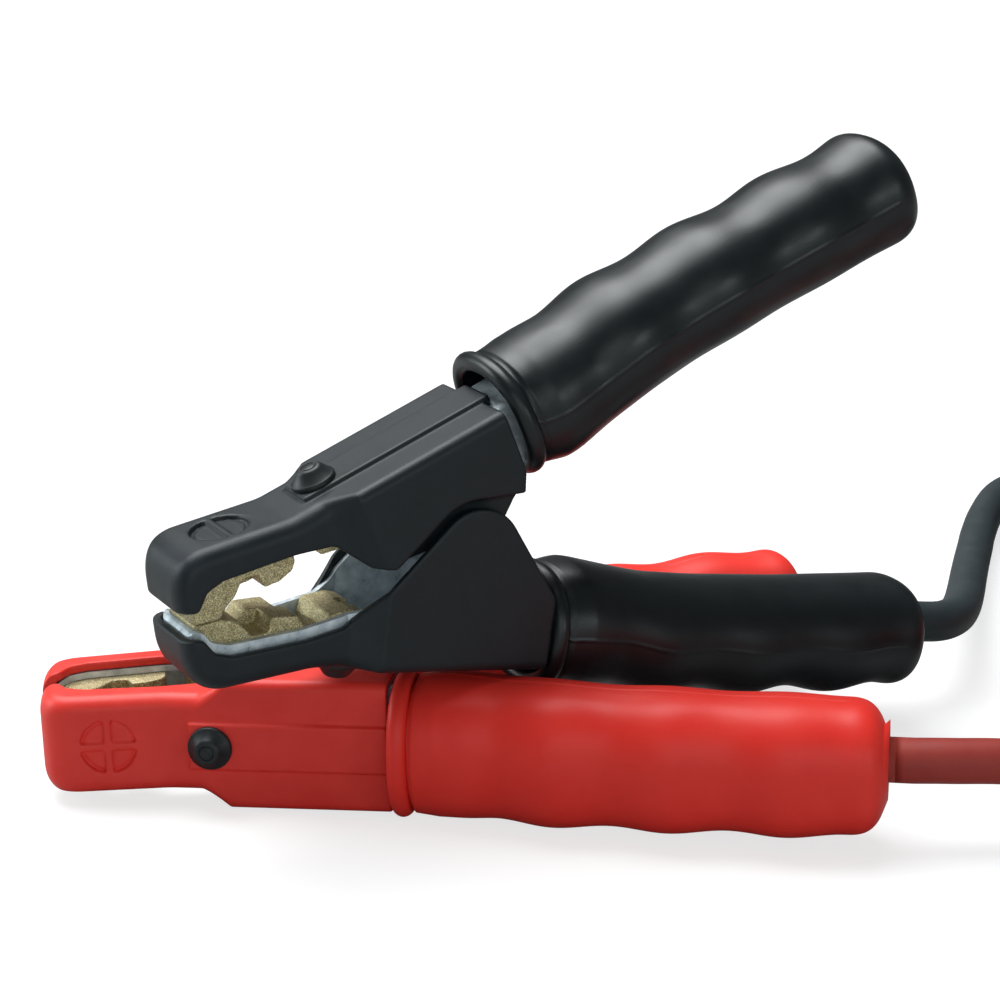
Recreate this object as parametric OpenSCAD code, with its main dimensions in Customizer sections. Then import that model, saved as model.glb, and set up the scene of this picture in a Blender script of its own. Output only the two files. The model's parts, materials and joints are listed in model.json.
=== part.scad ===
// Clamp lead set of a car battery charger: two insulated spring clamps, black for the
// negative pole and red for the positive one, each on its own lead, and one two-pole
// connector that both leads share.
//
// Each clamp is drawn shut about its pivot pin: X runs from the jaws to the handles,
// Y along the pin, and Z from the lever that holds the lead up to the lever that swings.
// Both levers are then placed by the same two modules, red_frame() and black_frame().

/* [Jaws] */
// Distance from the pivot pin to the tips of the shut jaws
jaw_reach = 59; // [54:0.5:64]
// Height of a jaw cover's outer face over the meeting line at the tip
tip_h = 13.3; // [13:0.1:16]
// Height of the lower lip of a jaw cover over the meeting line
lip_h = 2.7; // [2.2:0.1:3.4]
// Height of the open mouth on each side of the meeting line
mouth_h = 8.2; // [7.4:0.1:8.6]
// Width of the jaw covers at the nose
nose_w = 20; // [20:0.1:22]
// Radius of the two corners of a cover's tip, seen from above
corner_r = 4.6; // [3.6:0.2:5.6]
// Radius of a cover's tip, seen from the side
nose_r = 8.4; // [6:0.2:8.4]
// Wall of the jaw covers at the nose
nose_wall = 1.8; // [1.5:0.1:2]
// Diameter of the post notch cast in each brass jaw
notch_d = 4.6; // [3.6:0.2:5]

/* [Levers] */
// Half of the angle between the outer faces of the shut levers
lever_angle = 15; // [13:0.5:17]
// Height of a lever's outer face over the pivot pin, square to that face
face_h = 23.3; // [22.6:0.1:24.2]
// Distance from the pivot pin forward to the bend between nose and body
bend_x = 29.5; // [28:0.5:32]
// Width of the covers over the pivot pin
body_w = 26.8; // [26.2:0.1:27.6]
// Wall of the covers beside the pivot pin
cover_wall = 1.4; // [1.2:0.1:1.6]
// Distance from the pivot pin back to the end of the swinging lever's cover
cover_back = 15; // [13:0.5:16]
// Distance from the pivot pin back to the end of the black lead lever's cover
black_cover_back = 18; // [16.6:0.2:18.2]
// The same on the red clamp, whose grips are pushed on further
red_cover_back = 14.6; // [13.8:0.2:15.4]
// Thickness of the steel sheet of both levers
sheet = 1.3; // [1.1:0.1:1.5]
// Diameter of the pivot pin
pin_d = 5; // [4:0.2:6]
// Radius of the lead lever's ears round the pivot pin
ear_r = 8.9; // [8.4:0.1:9.2]
// Width of the steel handle channel
handle_w = 17; // [16.4:0.2:17.4]
// Depth of the steel handle channel
handle_depth = 12; // [10:0.5:12]
// Length of the steel handle channel
handle_len = 88; // [70:1:90]
// Angle by which the handles rise from the outer faces of their levers
handle_rise = 3; // [2.5:0.25:3.5]

/* [Cover marks] */
// Diameter of the sunk polarity sign
sign_d = 11; // [9:0.5:12]
// Depth of the sunk polarity sign
sign_depth = 0.6; // [0.3:0.1:0.9]
// Width of the bars of the polarity sign
sign_bar = 1.5; // [1:0.1:2]
// Width of the raised panel along the body of a cover
panel_w = 9.6; // [8:0.2:11]
// Height of the raised panel
panel_h = 0.9; // [0.5:0.1:1.2]
// How far the panel runs past the end of a swinging lever's cover
panel_past = 1.4; // [0:0.1:1.6]
// Diameter of the rivet that holds a cover to its lever
rivet_d = 8.8; // [7:0.2:9.4]
// Height of that rivet over the raised panel
rivet_h = 3.3; // [2:0.1:4]

/* [Grips] */
// Gap between a lead lever's cover and the rolled bead of its grip
bead_gap = 0.6; // [0.4:0.1:1]
// Distance from the pivot pin back to the rolled bead of a swinging lever's grip
swing_grip_front = 17; // [16.6:0.1:19]
// Length of the black swinging lever's grip over its bead and its rounded end
black_grip_len = 99.4; // [93:0.2:104]
// Length of the black lead lever's grip over its bead and its open end
black_lead_grip_len = 94; // [92:0.2:99]
// Length of a red grip over its bead and its rounded end
red_grip_len = 95; // [92:0.2:104]
// Width of a grip behind its bead
grip_w = 28.4; // [28:0.2:30]
// Width of a grip near its end
grip_end_w = 26.6; // [25:0.2:29]
// Wall of a grip at its open end
grip_wall = 2.4; // [1.8:0.1:2.8]
// Height of the finger waves on the outer side of a grip
wave_h = 0.8; // [0:0.1:1.4]
// Distance between two finger waves
wave_pitch = 24; // [20:1:28]
// Diameter of the hole for the lead in the end of a grip
lead_hole_d = 13; // [11:0.5:15]

/* [Spring] */
// Diameter of the spring wire
wire_d = 1.8; // [1.4:0.1:2]
// Turns of the spring between its two legs
spring_turns = 4; // [3:1:4]
// Radius of the spring's turns at the middle of the wire
spring_r = 4.9; // [4.5:0.1:5.4]

/* [Leads] */
// Outer diameter of a lead
lead_d = 8.7; // [7.6:0.1:9]
// Radius of a coil's outermost turn, at the middle of the lead
coil_r = 56; // [52:1:60]
// Distance between two turns of a coil, side by side or one above the other
coil_pitch = 9.4; // [9.2:0.1:10.4]
// Turns of a coil that spiral in, and as many that spiral out again
coil_turns = 1.875; // [1.875:1:2.875]
// Width of the tie round a coil
tie_w = 12; // [8:1:16]
// Thickness of the tie
tie_t = 1; // [0.8:0.1:1.4]
// Gap between the tie and the turns that it holds
tie_gap = 0.65; // [0.5:0.05:0.8]

/* [Connector] */
// Length of the connector housing
plug_len = 48; // [44:1:60]
// Width of the connector housing
plug_w = 37; // [35:1:44]
// Height of the connector housing
plug_h = 16; // [15:0.5:20]
// Distance between the two poles of the connector
pole_pitch = 16; // [15:0.5:18]
// Thickness of the contact tongues
tongue_t = 2; // [1.5:0.1:2.5]

/* [Clearances] */
// Gap between pieces of one lever that sit on each other
seat_gap = 0.1; // [0.05:0.05:0.2]
// Gap between the two levers where one swings beside the other
run_gap = 0.3; // [0.3:0.05:0.4]
// Radial gap between the pivot pin and the swinging lever
pin_gap = 0.05; // [0.03:0.01:0.08]

/* [Hidden] */
$fn = 48;

// Colours of the finishes
black_plastic = "#1d2022";
red_plastic = "#c62a2c";
black_grip_tint = "#181b1d";
zinc = "#9aa3a8";
brass = "#8f7d48";
copper = "#b5774a";
black_cable = "#3a4244";
red_cable = "#98332c";
// Turns of the raised bars in each polarity sign
black_sign = [0];
red_sign = [0, 90];

// Where the clamps lie: the middle of each pivot pin, and the turns about X, Y and Z
red_at = [-31, -8, 14.3];
red_turn = [-90, -2, 6];
black_at = [-8.7, -22.8, 54.5];
black_turn = [0, -6.6, 28.1];
// How far the grips sit to one side of their handles, and their turn on them: the red ones
// have settled on the floor while their steel is held a little off it
black_settle = [0, 0];
red_settle = [1.3, 1];

// ---- sizes worked out from the driving dimensions ----

far = 200;
arc_steps = 5;
nose_half = nose_w / 2;
body_half = body_w / 2;
steel_half = nose_half - nose_wall - seat_gap;
ear_half = body_half - cover_wall - seat_gap;
recess_half = ear_half - sheet - run_gap;
web_top = face_h - cover_wall - seat_gap;
lead_r = lead_d / 2;
pin_r = pin_d / 2;

// A point of a lever, x back along its outer face and y square to it, in the clamp's frame
function lever_pt(x, y, r = 0) =
    [x * cos(lever_angle) - y * sin(lever_angle), x * sin(lever_angle) + y * cos(lever_angle), r];

bend_pt = lever_pt(-bend_x, face_h);
nose_slope = atan2(bend_pt[1] - tip_h, jaw_reach + bend_pt[0]);
// Height of the nose's outer face over the meeting line at a distance u along the clamp
function nose_at(u) = tip_h + (u + jaw_reach) * tan(nose_slope);

function unit(v) = v / norm(v);
function turned(v, a) = [v[0] * cos(a) - v[1] * sin(a), v[0] * sin(a) + v[1] * cos(a)];

// The points of one corner b of an outline, rounded to the radius that b holds third
function corner_arc(a, b, c) =
    let (p = [b[0], b[1]], r = b[2])
    r <= 0 ? [p] :
    let (d1 = unit([a[0], a[1]] - p), d2 = unit([c[0], c[1]] - p), half = acos(d1 * d2) / 2)
    half > 89 ? [p] :
    let (
        centre = p + unit(d1 + d2) * r / sin(half),
        from = p + d1 * r / tan(half) - centre,
        to = p + d2 * r / tan(half) - centre,
        sweep = atan2(from[0] * to[1] - from[1] * to[0], from * to)
    )
    [for (i = [0 : arc_steps]) centre + turned(from, sweep * i / arc_steps)];

// An outline of [x, y, radius] corners with every corner rounded to its own radius
function rounded(pts) = [
    for (i = [0 : len(pts) - 1])
        each corner_arc(pts[(i + len(pts) - 1) % len(pts)], pts[i], pts[(i + 1) % len(pts)])
];

// ---- ways to place things ----

module red_frame() translate(red_at) rotate(red_turn) children();
module black_frame() translate(black_at) rotate(black_turn) children();
// The lead lever is the swinging lever's mirror image below the meeting line
module lead_side() mirror([0, 0, 1]) children();
// Turns a clamp's frame into a lever's: x back along the outer face, z square to it
module lever_frame() rotate([0, -lever_angle, 0]) children();
// The handle's own frame: x back along the channel, z out of its web's outer side
handle_from = 12;
module handle_frame() lever_frame()
    translate([handle_from, 0, web_top]) rotate([0, -handle_rise, 0]) children();

// Extrudes a side view, drawn as x along and y up, to the full width w
module side_extrude(w) translate([0, w / 2, 0]) rotate([90, 0, 0]) linear_extrude(w) children();
// Extrudes a cross section, drawn as x across and y up, from x0 to x1
module run_extrude(x0, x1) translate([x0, 0, 0]) rotate([90, 0, 90]) linear_extrude(x1 - x0) children();
module across(r, w) rotate([90, 0, 0]) cylinder(r = r, h = w, center = true);

// Where a lever widens from its nose to its body, along its outer face from the pivot pin
widen_from = -23.4;
widen_to = -17.6;
// All that lies drop below a lever's outer face, with half widths for nose and body, the
// tip at x, and radii for the tip's corners, the long edges and the tip's side view
module room(nose, body, tip, drop, corner, edge, round) {
    top = face_h - drop;
    intersection() {
        translate([0, 0, -far]) linear_extrude(2 * far) polygon(rounded([
            [tip, nose, corner], [tip + nose, nose, 0], [tip + nose, body, 0], [far, body, 0],
            [far, -body, 0], [tip + nose, -body, 0], [tip + nose, -nose, 0], [tip, -nose, corner],
        ]));
        side_extrude(2 * far) polygon(rounded([
            [tip, -far, 0], [tip, tip_h - drop, round], [bend_pt[0], bend_pt[1] - drop, 14],
            lever_pt(far, top), [far, -far, 0],
        ]));
        union() {
            intersection() {
                rotate([0, -nose_slope, 0])
                    bar(-far, far, nose, nose_at(0) * cos(nose_slope) - drop, edge);
                translate([-far + bend_pt[0], -far, -far]) cube([far, 2 * far, 2 * far]);
            }
            intersection() {
                lever_frame() if (nose == body) bar(-far, far, body, top, edge);
                else {
                    bar(-far, widen_from, nose, top, edge);
                    hull() {
                        bar(widen_from - 0.01, widen_from, nose, top, edge);
                        bar(widen_to, widen_to + 0.01, body, top, edge);
                    }
                    bar(widen_to, far, body, top, edge);
                }
                translate([bend_pt[0], -far, -far]) cube([far, 2 * far, 2 * far]);
            }
        }
    }
}
// A bar from x0 to x1 under a face at top, rounded to r along its two long edges
module bar(x0, x1, half, top, r) run_extrude(x0, x1)
    polygon(rounded([[-half, -far, 0], [half, -far, 0], [half, top, r], [-half, top, r]]));

// ---- side views ----

skin = cover_wall + seat_gap;
nose_skin = nose_wall + seat_gap;
lead_rim = 1.7;
swing_rim = 0.1;
mouth_front = 5.6 - jaw_reach;
mouth_back = -27.5;
// The edge of a lever along the mouth, from its back end to the lip, moved in by gap
function mouth_edge(gap) = [
    [mouth_back, mouth_h - gap, 3],
    [mouth_back - 8, mouth_h + 0.3 - gap, 12],
    [mouth_front + 3.4, mouth_h - 0.8 - gap, 3],
    [mouth_front, mouth_h - 2.2 - gap, 2],
    [mouth_front - 2, lip_h - gap, 1.2],
];
// The outer line of a lever from the tip to x, with the tip set back and the face sunk
function outer_line(x, tip, drop, r) = [
    [-jaw_reach + tip, lip_h, 0.4],
    [-jaw_reach + tip, tip_h - drop, r],
    [bend_pt[0], bend_pt[1] - drop, 14],
    lever_pt(x, face_h - drop),
];

function polar(r, a) = [r * cos(a), r * sin(a), 0];
slope_front = 34.8;
slope_back = 23.2;
ear_arc = 12;
// The lead lever's ear round the pivot pin, which reaches past the meeting line
function ear_pts(r) = concat(
    [for (i = [0 : ear_arc]) polar(r, -slope_back - (90 + slope_front - slope_back) * i / ear_arc)],
    [polar(r, -90 - slope_front) + [-17, 17 * tan(slope_front), 6]]
);

swing_cover_pts = concat(
    outer_line(cover_back, 0, 0, nose_r),
    [lever_pt(cover_back, 10.5, 3), lever_pt(13.2, 6.4, 1), lever_pt(8.6, 2.6, 1),
        [-16.6, 1.4, 1], [-21.4, 2.6, 1.6]],
    mouth_edge(0)
);
// What of it is as wide as the body: all over an arch that clears the other lever's ears
arch_r = ear_r + 2;
arch_back = 75;
swing_wide_pts = concat(
    [[-far, -far, 0], [-far, far, 0], [far, far, 0], lever_pt(far, -20), lever_pt(13.2, 6.4)],
    [for (i = [0 : ear_arc]) polar(arch_r, arch_back + (90 + slope_front - arch_back) * i / ear_arc)],
    [[-18.4, 0.6, 0], [-21.4, -1, 0], [-21.4, -far, 0]]
);
function lead_cover_pts(back) = concat(
    outer_line(back, 0, 0, nose_r),
    [lever_pt(back, 8.8, 2)],
    ear_pts(ear_r),
    mouth_edge(0)
);
steel_back = handle_from + 3;
swing_steel_pts = concat(
    outer_line(steel_back, nose_skin, skin, nose_r - nose_skin),
    [lever_pt(steel_back, 10.5), lever_pt(8.5, 2.5, 1), [3, -3, 1], [-4, -3, 1], [-14, 2.2, 1], [-19, 3.6, 1]],
    mouth_edge(swing_rim)
);
function lead_steel_pts(back) = concat(
    outer_line(back, nose_skin, skin, nose_r - nose_skin),
    [lever_pt(back, 9.8, 2)],
    ear_pts(ear_r - skin),
    mouth_edge(lead_rim)
);

// ---- one clamp, drawn shut about its pivot pin ----

bar_r = 3;
steel_r = 2.4;
steel_corner = corner_r - nose_skin;
steel_round = nose_r - nose_skin;
pin_ring = 5.4;
rivet_x = -20.5;
panel_from = -25;
rivet_shaft = 1.9;
rivet_sink = 3;
sign_at = [-45.9, 0];

// The room of the handle channel, grown by gap on its outer sides
module handle_room(gap) handle_frame()
    run_extrude(0, handle_len + gap) polygon(rounded([
        [-handle_w / 2 - gap, -handle_depth - gap, 0], [handle_w / 2 + gap, -handle_depth - gap, 0],
        [handle_w / 2 + gap, gap, steel_r], [-handle_w / 2 - gap, gap, steel_r],
    ]));

module handle_channel() difference() {
    handle_room(0);
    handle_frame() run_extrude(-1, handle_len + 1) polygon(rounded([
        [-handle_w / 2 + sheet, -handle_depth - 1, 0], [handle_w / 2 - sheet, -handle_depth - 1, 0],
        [handle_w / 2 - sheet, -sheet, steel_r - sheet], [-handle_w / 2 + sheet, -sheet, steel_r - sheet],
    ]));
    handle_frame() translate([lug_x, 0, -5]) cylinder(r = screw_r + seat_gap, h = 10);
}

// The bore of a rivet through a lever's outer face
module rivet_bore(r) lever_frame() translate([rivet_x, 0, face_h - 12]) cylinder(r = r, h = 20);

// The inside of a folded lever
module hollow(nose, body) room(nose, body, -jaw_reach + nose_skin + sheet, skin + sheet,
    steel_corner - sheet, steel_r - sheet, steel_round - sheet);
// The room in a cover for the steel
module steel_room(nose, body) room(nose + seat_gap, body + seat_gap, -jaw_reach + nose_wall,
    cover_wall, steel_corner + seat_gap, steel_r, steel_round + seat_gap);

module swing_frame() {
    difference() {
        intersection() {
            side_extrude(2 * steel_half) {
                polygon(rounded(swing_steel_pts));
                circle(r = pin_ring);
            }
            room(steel_half, steel_half, -jaw_reach + nose_skin, skin, steel_corner, steel_r, steel_round);
        }
        hollow(steel_half - sheet, steel_half - sheet);
        across(pin_r + pin_gap, far);
        rivet_bore(rivet_shaft + seat_gap);
    }
    handle_channel();
}

module lead_frame(back) {
    difference() {
        intersection() {
            side_extrude(2 * ear_half)
                polygon(rounded(lead_steel_pts(min(steel_back, back - nose_wall / 4))));
            room(steel_half, ear_half, -jaw_reach + nose_skin, skin, steel_corner, steel_r, steel_round);
        }
        hollow(steel_half - sheet, ear_half - sheet);
        across(pin_r + seat_gap, far);
        rivet_bore(rivet_shaft + seat_gap);
    }
    handle_channel();
}

// The raised panel, clear of the handle channel below it, the room of the rivet and the sunk sign
// on the outer face of a cover
module cover_marks(bars, back) difference() {
    union() {
        children();
        lever_frame() translate([panel_from, -panel_w / 2, face_h - cover_wall])
            cube([back - panel_from, panel_w, cover_wall + panel_h]);
    }
    handle_room(seat_gap);
    rivet_bore(rivet_shaft + seat_gap);
    translate([sign_at[0], 0, nose_at(sign_at[0])]) rotate([0, -nose_slope, 0]) difference() {
        translate([0, 0, -sign_depth]) cylinder(r = sign_d / 2, h = 5);
        for (turn = bars) rotate([0, 0, turn]) cube([sign_bar, sign_d, 20], center = true);
    }
}

module swing_cover(bars) cover_marks(bars, cover_back + panel_past) difference() {
    intersection() {
        side_extrude(2 * body_half) polygon(rounded(swing_cover_pts));
        room(nose_half, body_half, -jaw_reach, 0, corner_r, bar_r, nose_r);
        union() {
            side_extrude(2 * recess_half) square(2 * far, center = true);
            side_extrude(2 * far) polygon(rounded(swing_wide_pts));
        }
    }
    steel_room(steel_half, steel_half);
    handle_room(seat_gap);
}

module lead_cover(bars, back) cover_marks(bars, back) difference() {
    intersection() {
        side_extrude(2 * body_half) polygon(rounded(lead_cover_pts(back)));
        room(nose_half, body_half, -jaw_reach, 0, corner_r, bar_r, nose_r);
    }
    steel_room(steel_half, ear_half);
    handle_room(seat_gap);
}

// The brass jaws: two rows of teeth side by side, each drawn as [distance along, depth from
// the meeting line]
brass_half = steel_half - sheet - seat_gap;
meet_gap = 0.05;
meet_drop = 0.9;
notch_at = -43.2;
function notch(at, y) = [
    [at - notch_d / 2 - 1.2, y, 0.3], [at - notch_d / 2 + 0.6, y + notch_d * 0.6, 0.5],
    [at + notch_d / 2 - 0.8, y + notch_d * 0.65, 0.5], [at + notch_d / 2 + 0.2, y + 0.2, 0.4],
];
jaw_tip = -jaw_reach + nose_skin + sheet + seat_gap;
lead_tip = [[jaw_tip, meet_drop + meet_gap, 0.3], [-50.4, meet_drop + meet_gap, 0.6]];
lead_near_row = concat(lead_tip, [[-48.2, 1.7, 0.6]], notch(notch_at, 3),
    [[-35.4, 4.4, 0.4], [-34.6, 6.2, 0.3], [-34.6, far, 0]]);
lead_other_row = concat(lead_tip, [[-47.6, 1.9, 0.6], [-44.8, 4.8, 0.4],
    [-42.9, 3.1, 0.3], [-37.4, 3.9, 0.4], [-35.8, 5.8, 0.3], [-35.8, far, 0]]);
swing_tip = [[jaw_tip, meet_gap - meet_drop, 0.3], [-50.6, meet_gap - meet_drop, 0.6]];
swing_near_row = concat(swing_tip, [[-49.4, 0.7, 0.5]], notch(notch_at - 0.4, 2.6),
    [[-38, 3.2, 0.5], [-35.3, 4.6, 0.4], [-34.5, 6, 0.3], [-34.5, far, 0]]);
swing_other_row = concat(swing_tip, [[-49, 0.7, 0.5], [-45.4, 3.6, 0.4],
    [-43.4, 2, 0.3], [-37.6, 3, 0.4], [-36.4, 5.4, 0.3], [-36.4, far, 0]]);

module brass_room() room(brass_half, brass_half, jaw_tip, skin + sheet + seat_gap,
    steel_corner - sheet, steel_r - sheet, steel_round - sheet);
module jaw(near_row, other_row) intersection() {
    brass_room();
    union() {
        translate([0, -far / 2, 0]) side_extrude(far) polygon(rounded(concat(near_row, [[jaw_tip, far, 0]])));
        translate([0, far / 2, 0]) side_extrude(far) polygon(rounded(concat(other_row, [[jaw_tip, far, 0]])));
    }
}
module heel() difference() {
    intersection() {
        brass_room();
        side_extrude(far) polygon(rounded([
            [-30.6, 8.4, 0.4], [-29.2, 6, 0.8], [-24.4, 6.2, 0.8], [-21.8, 7.4, 0.5],
            [-21.5, far, 0], [-30.6, far, 0],
        ]));
    }
    rivet_bore(rivet_shaft + seat_gap);
}

module rivet() lever_frame() translate([rivet_x, 0, face_h + panel_h]) {
    cylinder(r = rivet_d / 2, h = 1);
    translate([0, 0, 1]) cylinder(r1 = rivet_d / 2 - 0.5, r2 = rivet_d / 2 - 1.9, h = rivet_h - 1);
    translate([0, 0, -panel_h - skin - sheet - rivet_sink])
        cylinder(r = rivet_shaft, h = panel_h + skin + sheet + rivet_sink);
}

module pivot_pin() across(pin_r, 2 * ear_half);

// ---- the grips ----

grip_sides = 28;
grip_power = 2.25;
end_round = 8;
function outer_side(x) = lookup(x, [[18, 30.2], [22, 30], [25, 29.3], [34, 30.2], [46, 31.2], [60, 31.9], [125, 31.7]])
    + wave_h * min(1, max(0, (x - 24) / 12)) * cos(360 * (x - 47) / wave_pitch);
function inner_side(x) =
    lookup(x, [[18, 5.2], [22, 5], [27, 4.2], [40, 6.2], [47, 7.1], [60, 7.8], [106, 9.4], [125, 9.8]]);
function half_width(x) = lookup(x, [[30, grip_w / 2], [105, grip_end_w / 2]]);
// What the rolled bead and the rounded end add to a grip's section at x
function bead(x) = lookup(x,
    [[0, -1.6], [0.3, -0.9], [0.9, -0.2], [1.8, 0.2], [2.7, -0.2], [3.3, -0.9], [5, -0.5], [9, 0]]);
function end_scale(x, back) =
    let (t = max(0, (x - back + end_round) / end_round)) t >= 1 ? 0 : pow(1 - pow(t, 2.6), 1 / 2.6);
// One ring of a grip: a rounded section at x, smaller by wall all round
function grip_ring(x, front, back, wall) =
    let (
        high = outer_side(x), low = inner_side(x), mid = (high + low) / 2,
        shrink = end_scale(x, back), grow = bead(x - front) - wall,
        ry = (half_width(x) + grow) * shrink, rz = ((high - low) / 2 + grow) * shrink
    )
    [for (i = [0 : grip_sides - 1]) let (a = 360 * (i + 0.5) / grip_sides)
        [x, -ry * sign(cos(a)) * pow(abs(cos(a)), 2 / grip_power),
            mid + rz * sign(sin(a)) * pow(abs(sin(a)), 2 / grip_power)]];
// A closed skin over rings that all have the same number of points
module skin_over(rings) {
    n = len(rings[0]);
    last = len(rings) - 1;
    polyhedron(
        points = [for (ring = rings) each ring],
        faces = [
            for (k = [0 : last - 1]) for (i = [0 : n - 1]) let (j = (i + 1) % n)
                each [[k * n + i, k * n + j, (k + 1) * n + j], [k * n + i, (k + 1) * n + j, (k + 1) * n + i]],
            for (i = [1 : n - 2]) [0, i + 1, i],
            for (i = [1 : n - 2]) [last * n, last * n + i, last * n + i + 1],
        ]
    );
}
bead_steps = [0, 0.3, 0.9, 1.8, 2.7, 3.3, 5, 9, 15];
grip_steps = 14;
end_steps = [0.3, 0.55, 0.75, 0.88, 0.96, 0.995];
module grip(front, len, settle) {
    back = front + len;
    from = front + bead_steps[8];
    to = back - end_round;
    xs = concat(
        [for (s = bead_steps) front + s],
        [for (i = [1 : grip_steps]) from + (to - from) * i / grip_steps],
        [for (t = end_steps) to + end_round * t]
    );
    difference() {
        settled(settle) skin_over([for (x = xs) grip_ring(x, front, back, 0)]);
        settled(settle) skin_over([for (s = [-1, 4, 9])
            grip_ring(front + s, front, back, grip_wall + bead(s))]);
        handle_room(seat_gap);
        handle_frame() translate([0, -screw_head_r - 0.5, -1])
            cube([lug_x + screw_head_r + 1, 2 * screw_head_r + 1, 1 + screw_head_h + 0.5]);
    }
}
// A sleeve that sits a little to one side of its handle, and is turned about its middle
grip_middle = 68;
module settled(settle) lever_frame() translate([grip_middle, settle[0], 0])
    rotate([0, 0, settle[1]]) translate([-grip_middle, 0, 0]) children();

// Where the hole for the lead starts along it, and how far it runs
hole_from = 30;
hole_run = 90;
module lead_grip(front, len, settle, lean) difference() {
    grip(front, len, settle);
    lead_line(lean) translate([0, 0, hole_from]) cylinder(r = lead_hole_d / 2, h = hole_run);
}

// ---- tubes: leads and springs ----

// One ring of n points round p, square to the direction t and level with ref
function tube_ring(p, t, r, n, ref) =
    let (side = unit(cross(t, ref)), up = cross(side, t))
    [for (i = [0 : n - 1]) p + r * (side * cos(360 * i / n + 90) + up * sin(360 * i / n + 90))];
function path_dir(path, i) = unit(path[min(i + 1, len(path) - 1)] - path[max(i - 1, 0)]);
module tube(path, r, n, ref) skin_over([
    for (i = [0 : len(path) - 1]) tube_ring(path[i], path_dir(path, i), r, n, ref)
]);
// The least gap between turns of a tube of diameter d: over all pairs of points that are
// more than half a turn apart
function least_gap(path, d, apart) = min([
    for (i = [0 : len(path) - 1]) for (j = [i + apart : 1 : len(path) - 1]) norm(path[i] - path[j])
]) - d;

// The torsion spring round the pin: its legs press the two handles apart
rings_per_turn = 24;
spring_pitch = wire_d + 0.5;
leg_len = 26;
leg_out = atan(leg_len / spring_r);
leg_rise = asin((web_top + 6 * sin(handle_rise) - sheet - seat_gap - wire_d / 2) / norm([leg_len, spring_r]));
spring_end = lever_angle + leg_rise - leg_out;
spring_sweep = 360 * spring_turns + 2 * spring_end;
spring_rings = ceil(spring_sweep / 360 * rings_per_turn);
spring_half = spring_pitch * spring_sweep / 720;
function spring_at(i) =
    let (a = -spring_end + spring_sweep * i / spring_rings)
    [spring_r * cos(a), spring_half - 2 * spring_half * i / spring_rings, spring_r * sin(a)];
function leg_run(way) = leg_len * [-sin(spring_end), 0, way * cos(spring_end)];
spring_path = concat(
    [for (s = [1, 0.5]) spring_at(0) + s * leg_run(-1)],
    [for (i = [0 : spring_rings]) spring_at(i)],
    [for (s = [0.5, 1]) spring_at(spring_rings) + s * leg_run(1)]
);
module spring() tube(spring_path, wire_d / 2, 6, [0, 1, 0]);

// ---- the lead inside its grip ----

lug_x = 17;
screw_r = 2;
screw_head_r = 3.6;
screw_head_h = 1.2;
lug_t = 1.6;
lug_len = 12;
barrel_r = 4.2;
barrel_len = 10;
core_r = 2.6;
lead_z = -sheet - seat_gap - barrel_r - 0.4;
module lug() handle_frame() difference() {
    union() {
        translate([lug_x - lug_len / 2, -5, -sheet - seat_gap - lug_t]) cube([lug_len, 10, lug_t]);
        translate([lug_x + lug_len / 2 - 0.5, 0, lead_z]) rotate([0, 90, 0])
            cylinder(r = barrel_r, h = barrel_len);
        translate([lug_x + lug_len / 2 - 0.5, -5, -sheet - seat_gap - lug_t])
            cube([barrel_len / 2, 10, lug_t]);
    }
    translate([lug_x, 0, -10]) cylinder(r = screw_r + seat_gap, h = 20);
    translate([lug_x + lug_len / 2 + 2, 0, lead_z]) rotate([0, 90, 0])
        cylinder(r = core_r + seat_gap, h = barrel_len);
}
module lug_screw() handle_frame() translate([lug_x, 0, 0]) {
    translate([0, 0, seat_gap]) cylinder(r = screw_head_r, h = screw_head_h);
    translate([0, 0, -sheet - lug_t - 2.6]) cylinder(r = screw_r, h = sheet + lug_t + 2.7 + seat_gap);
    translate([0, 0, -sheet - 2 * seat_gap - lug_t - 1.8]) cylinder(r = screw_head_r, h = 1.8, $fn = 6);
}
inner_from = lug_x + lug_len / 2 + barrel_len + 0.5;
// How far each lead leans in its channel: out of it and towards one side
black_lean = [0, 1.5, 2];
red_lean = [0, 1.5, 0.6];
// Length of the inner stretch, to just past the end of a grip that ends at back
function inner_len(back) = back - handle_from - inner_from + 1;
module lead_line(lean) handle_frame() translate([inner_from, 0, lead_z]) rotate(lean)
    rotate([0, 90, 0]) children();
module lead_inner(back, lean) {
    lead_line(lean) cylinder(r = lead_r, h = inner_len(back));
    handle_frame() translate([inner_from - barrel_len + 2.5, 0, lead_z]) rotate([0, 90, 0])
        cylinder(r = core_r, h = barrel_len);
}

// ---- leads, coils, ties and the connector ----

function turn_x(v, a) = [v[0], v[1] * cos(a) - v[2] * sin(a), v[1] * sin(a) + v[2] * cos(a)];
function turn_y(v, a) = [v[0] * cos(a) + v[2] * sin(a), v[1], -v[0] * sin(a) + v[2] * cos(a)];
function turn_z(v, a) = [v[0] * cos(a) - v[1] * sin(a), v[0] * sin(a) + v[1] * cos(a), v[2]];
function placed(v, at, turn) = at + turn_z(turn_y(turn_x(v, turn[0]), turn[1]), turn[2]);
// A point of the lead lever's handle frame in the clamp's frame
function handle_pt(v) =
    let (p = lever_pt(handle_from + v[0] * cos(handle_rise) - v[2] * sin(handle_rise),
        web_top + v[0] * sin(handle_rise) + v[2] * cos(handle_rise)))
    [p[0], v[1], -p[1]];
// A point of a lead's inner stretch, a distance along it, in the clamp's frame
function inner_pt(s, lean) = handle_pt([inner_from, 0, lead_z]
    + s * turn_z(turn_y([1, 0, 0], lean[1]), lean[2]));

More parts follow.
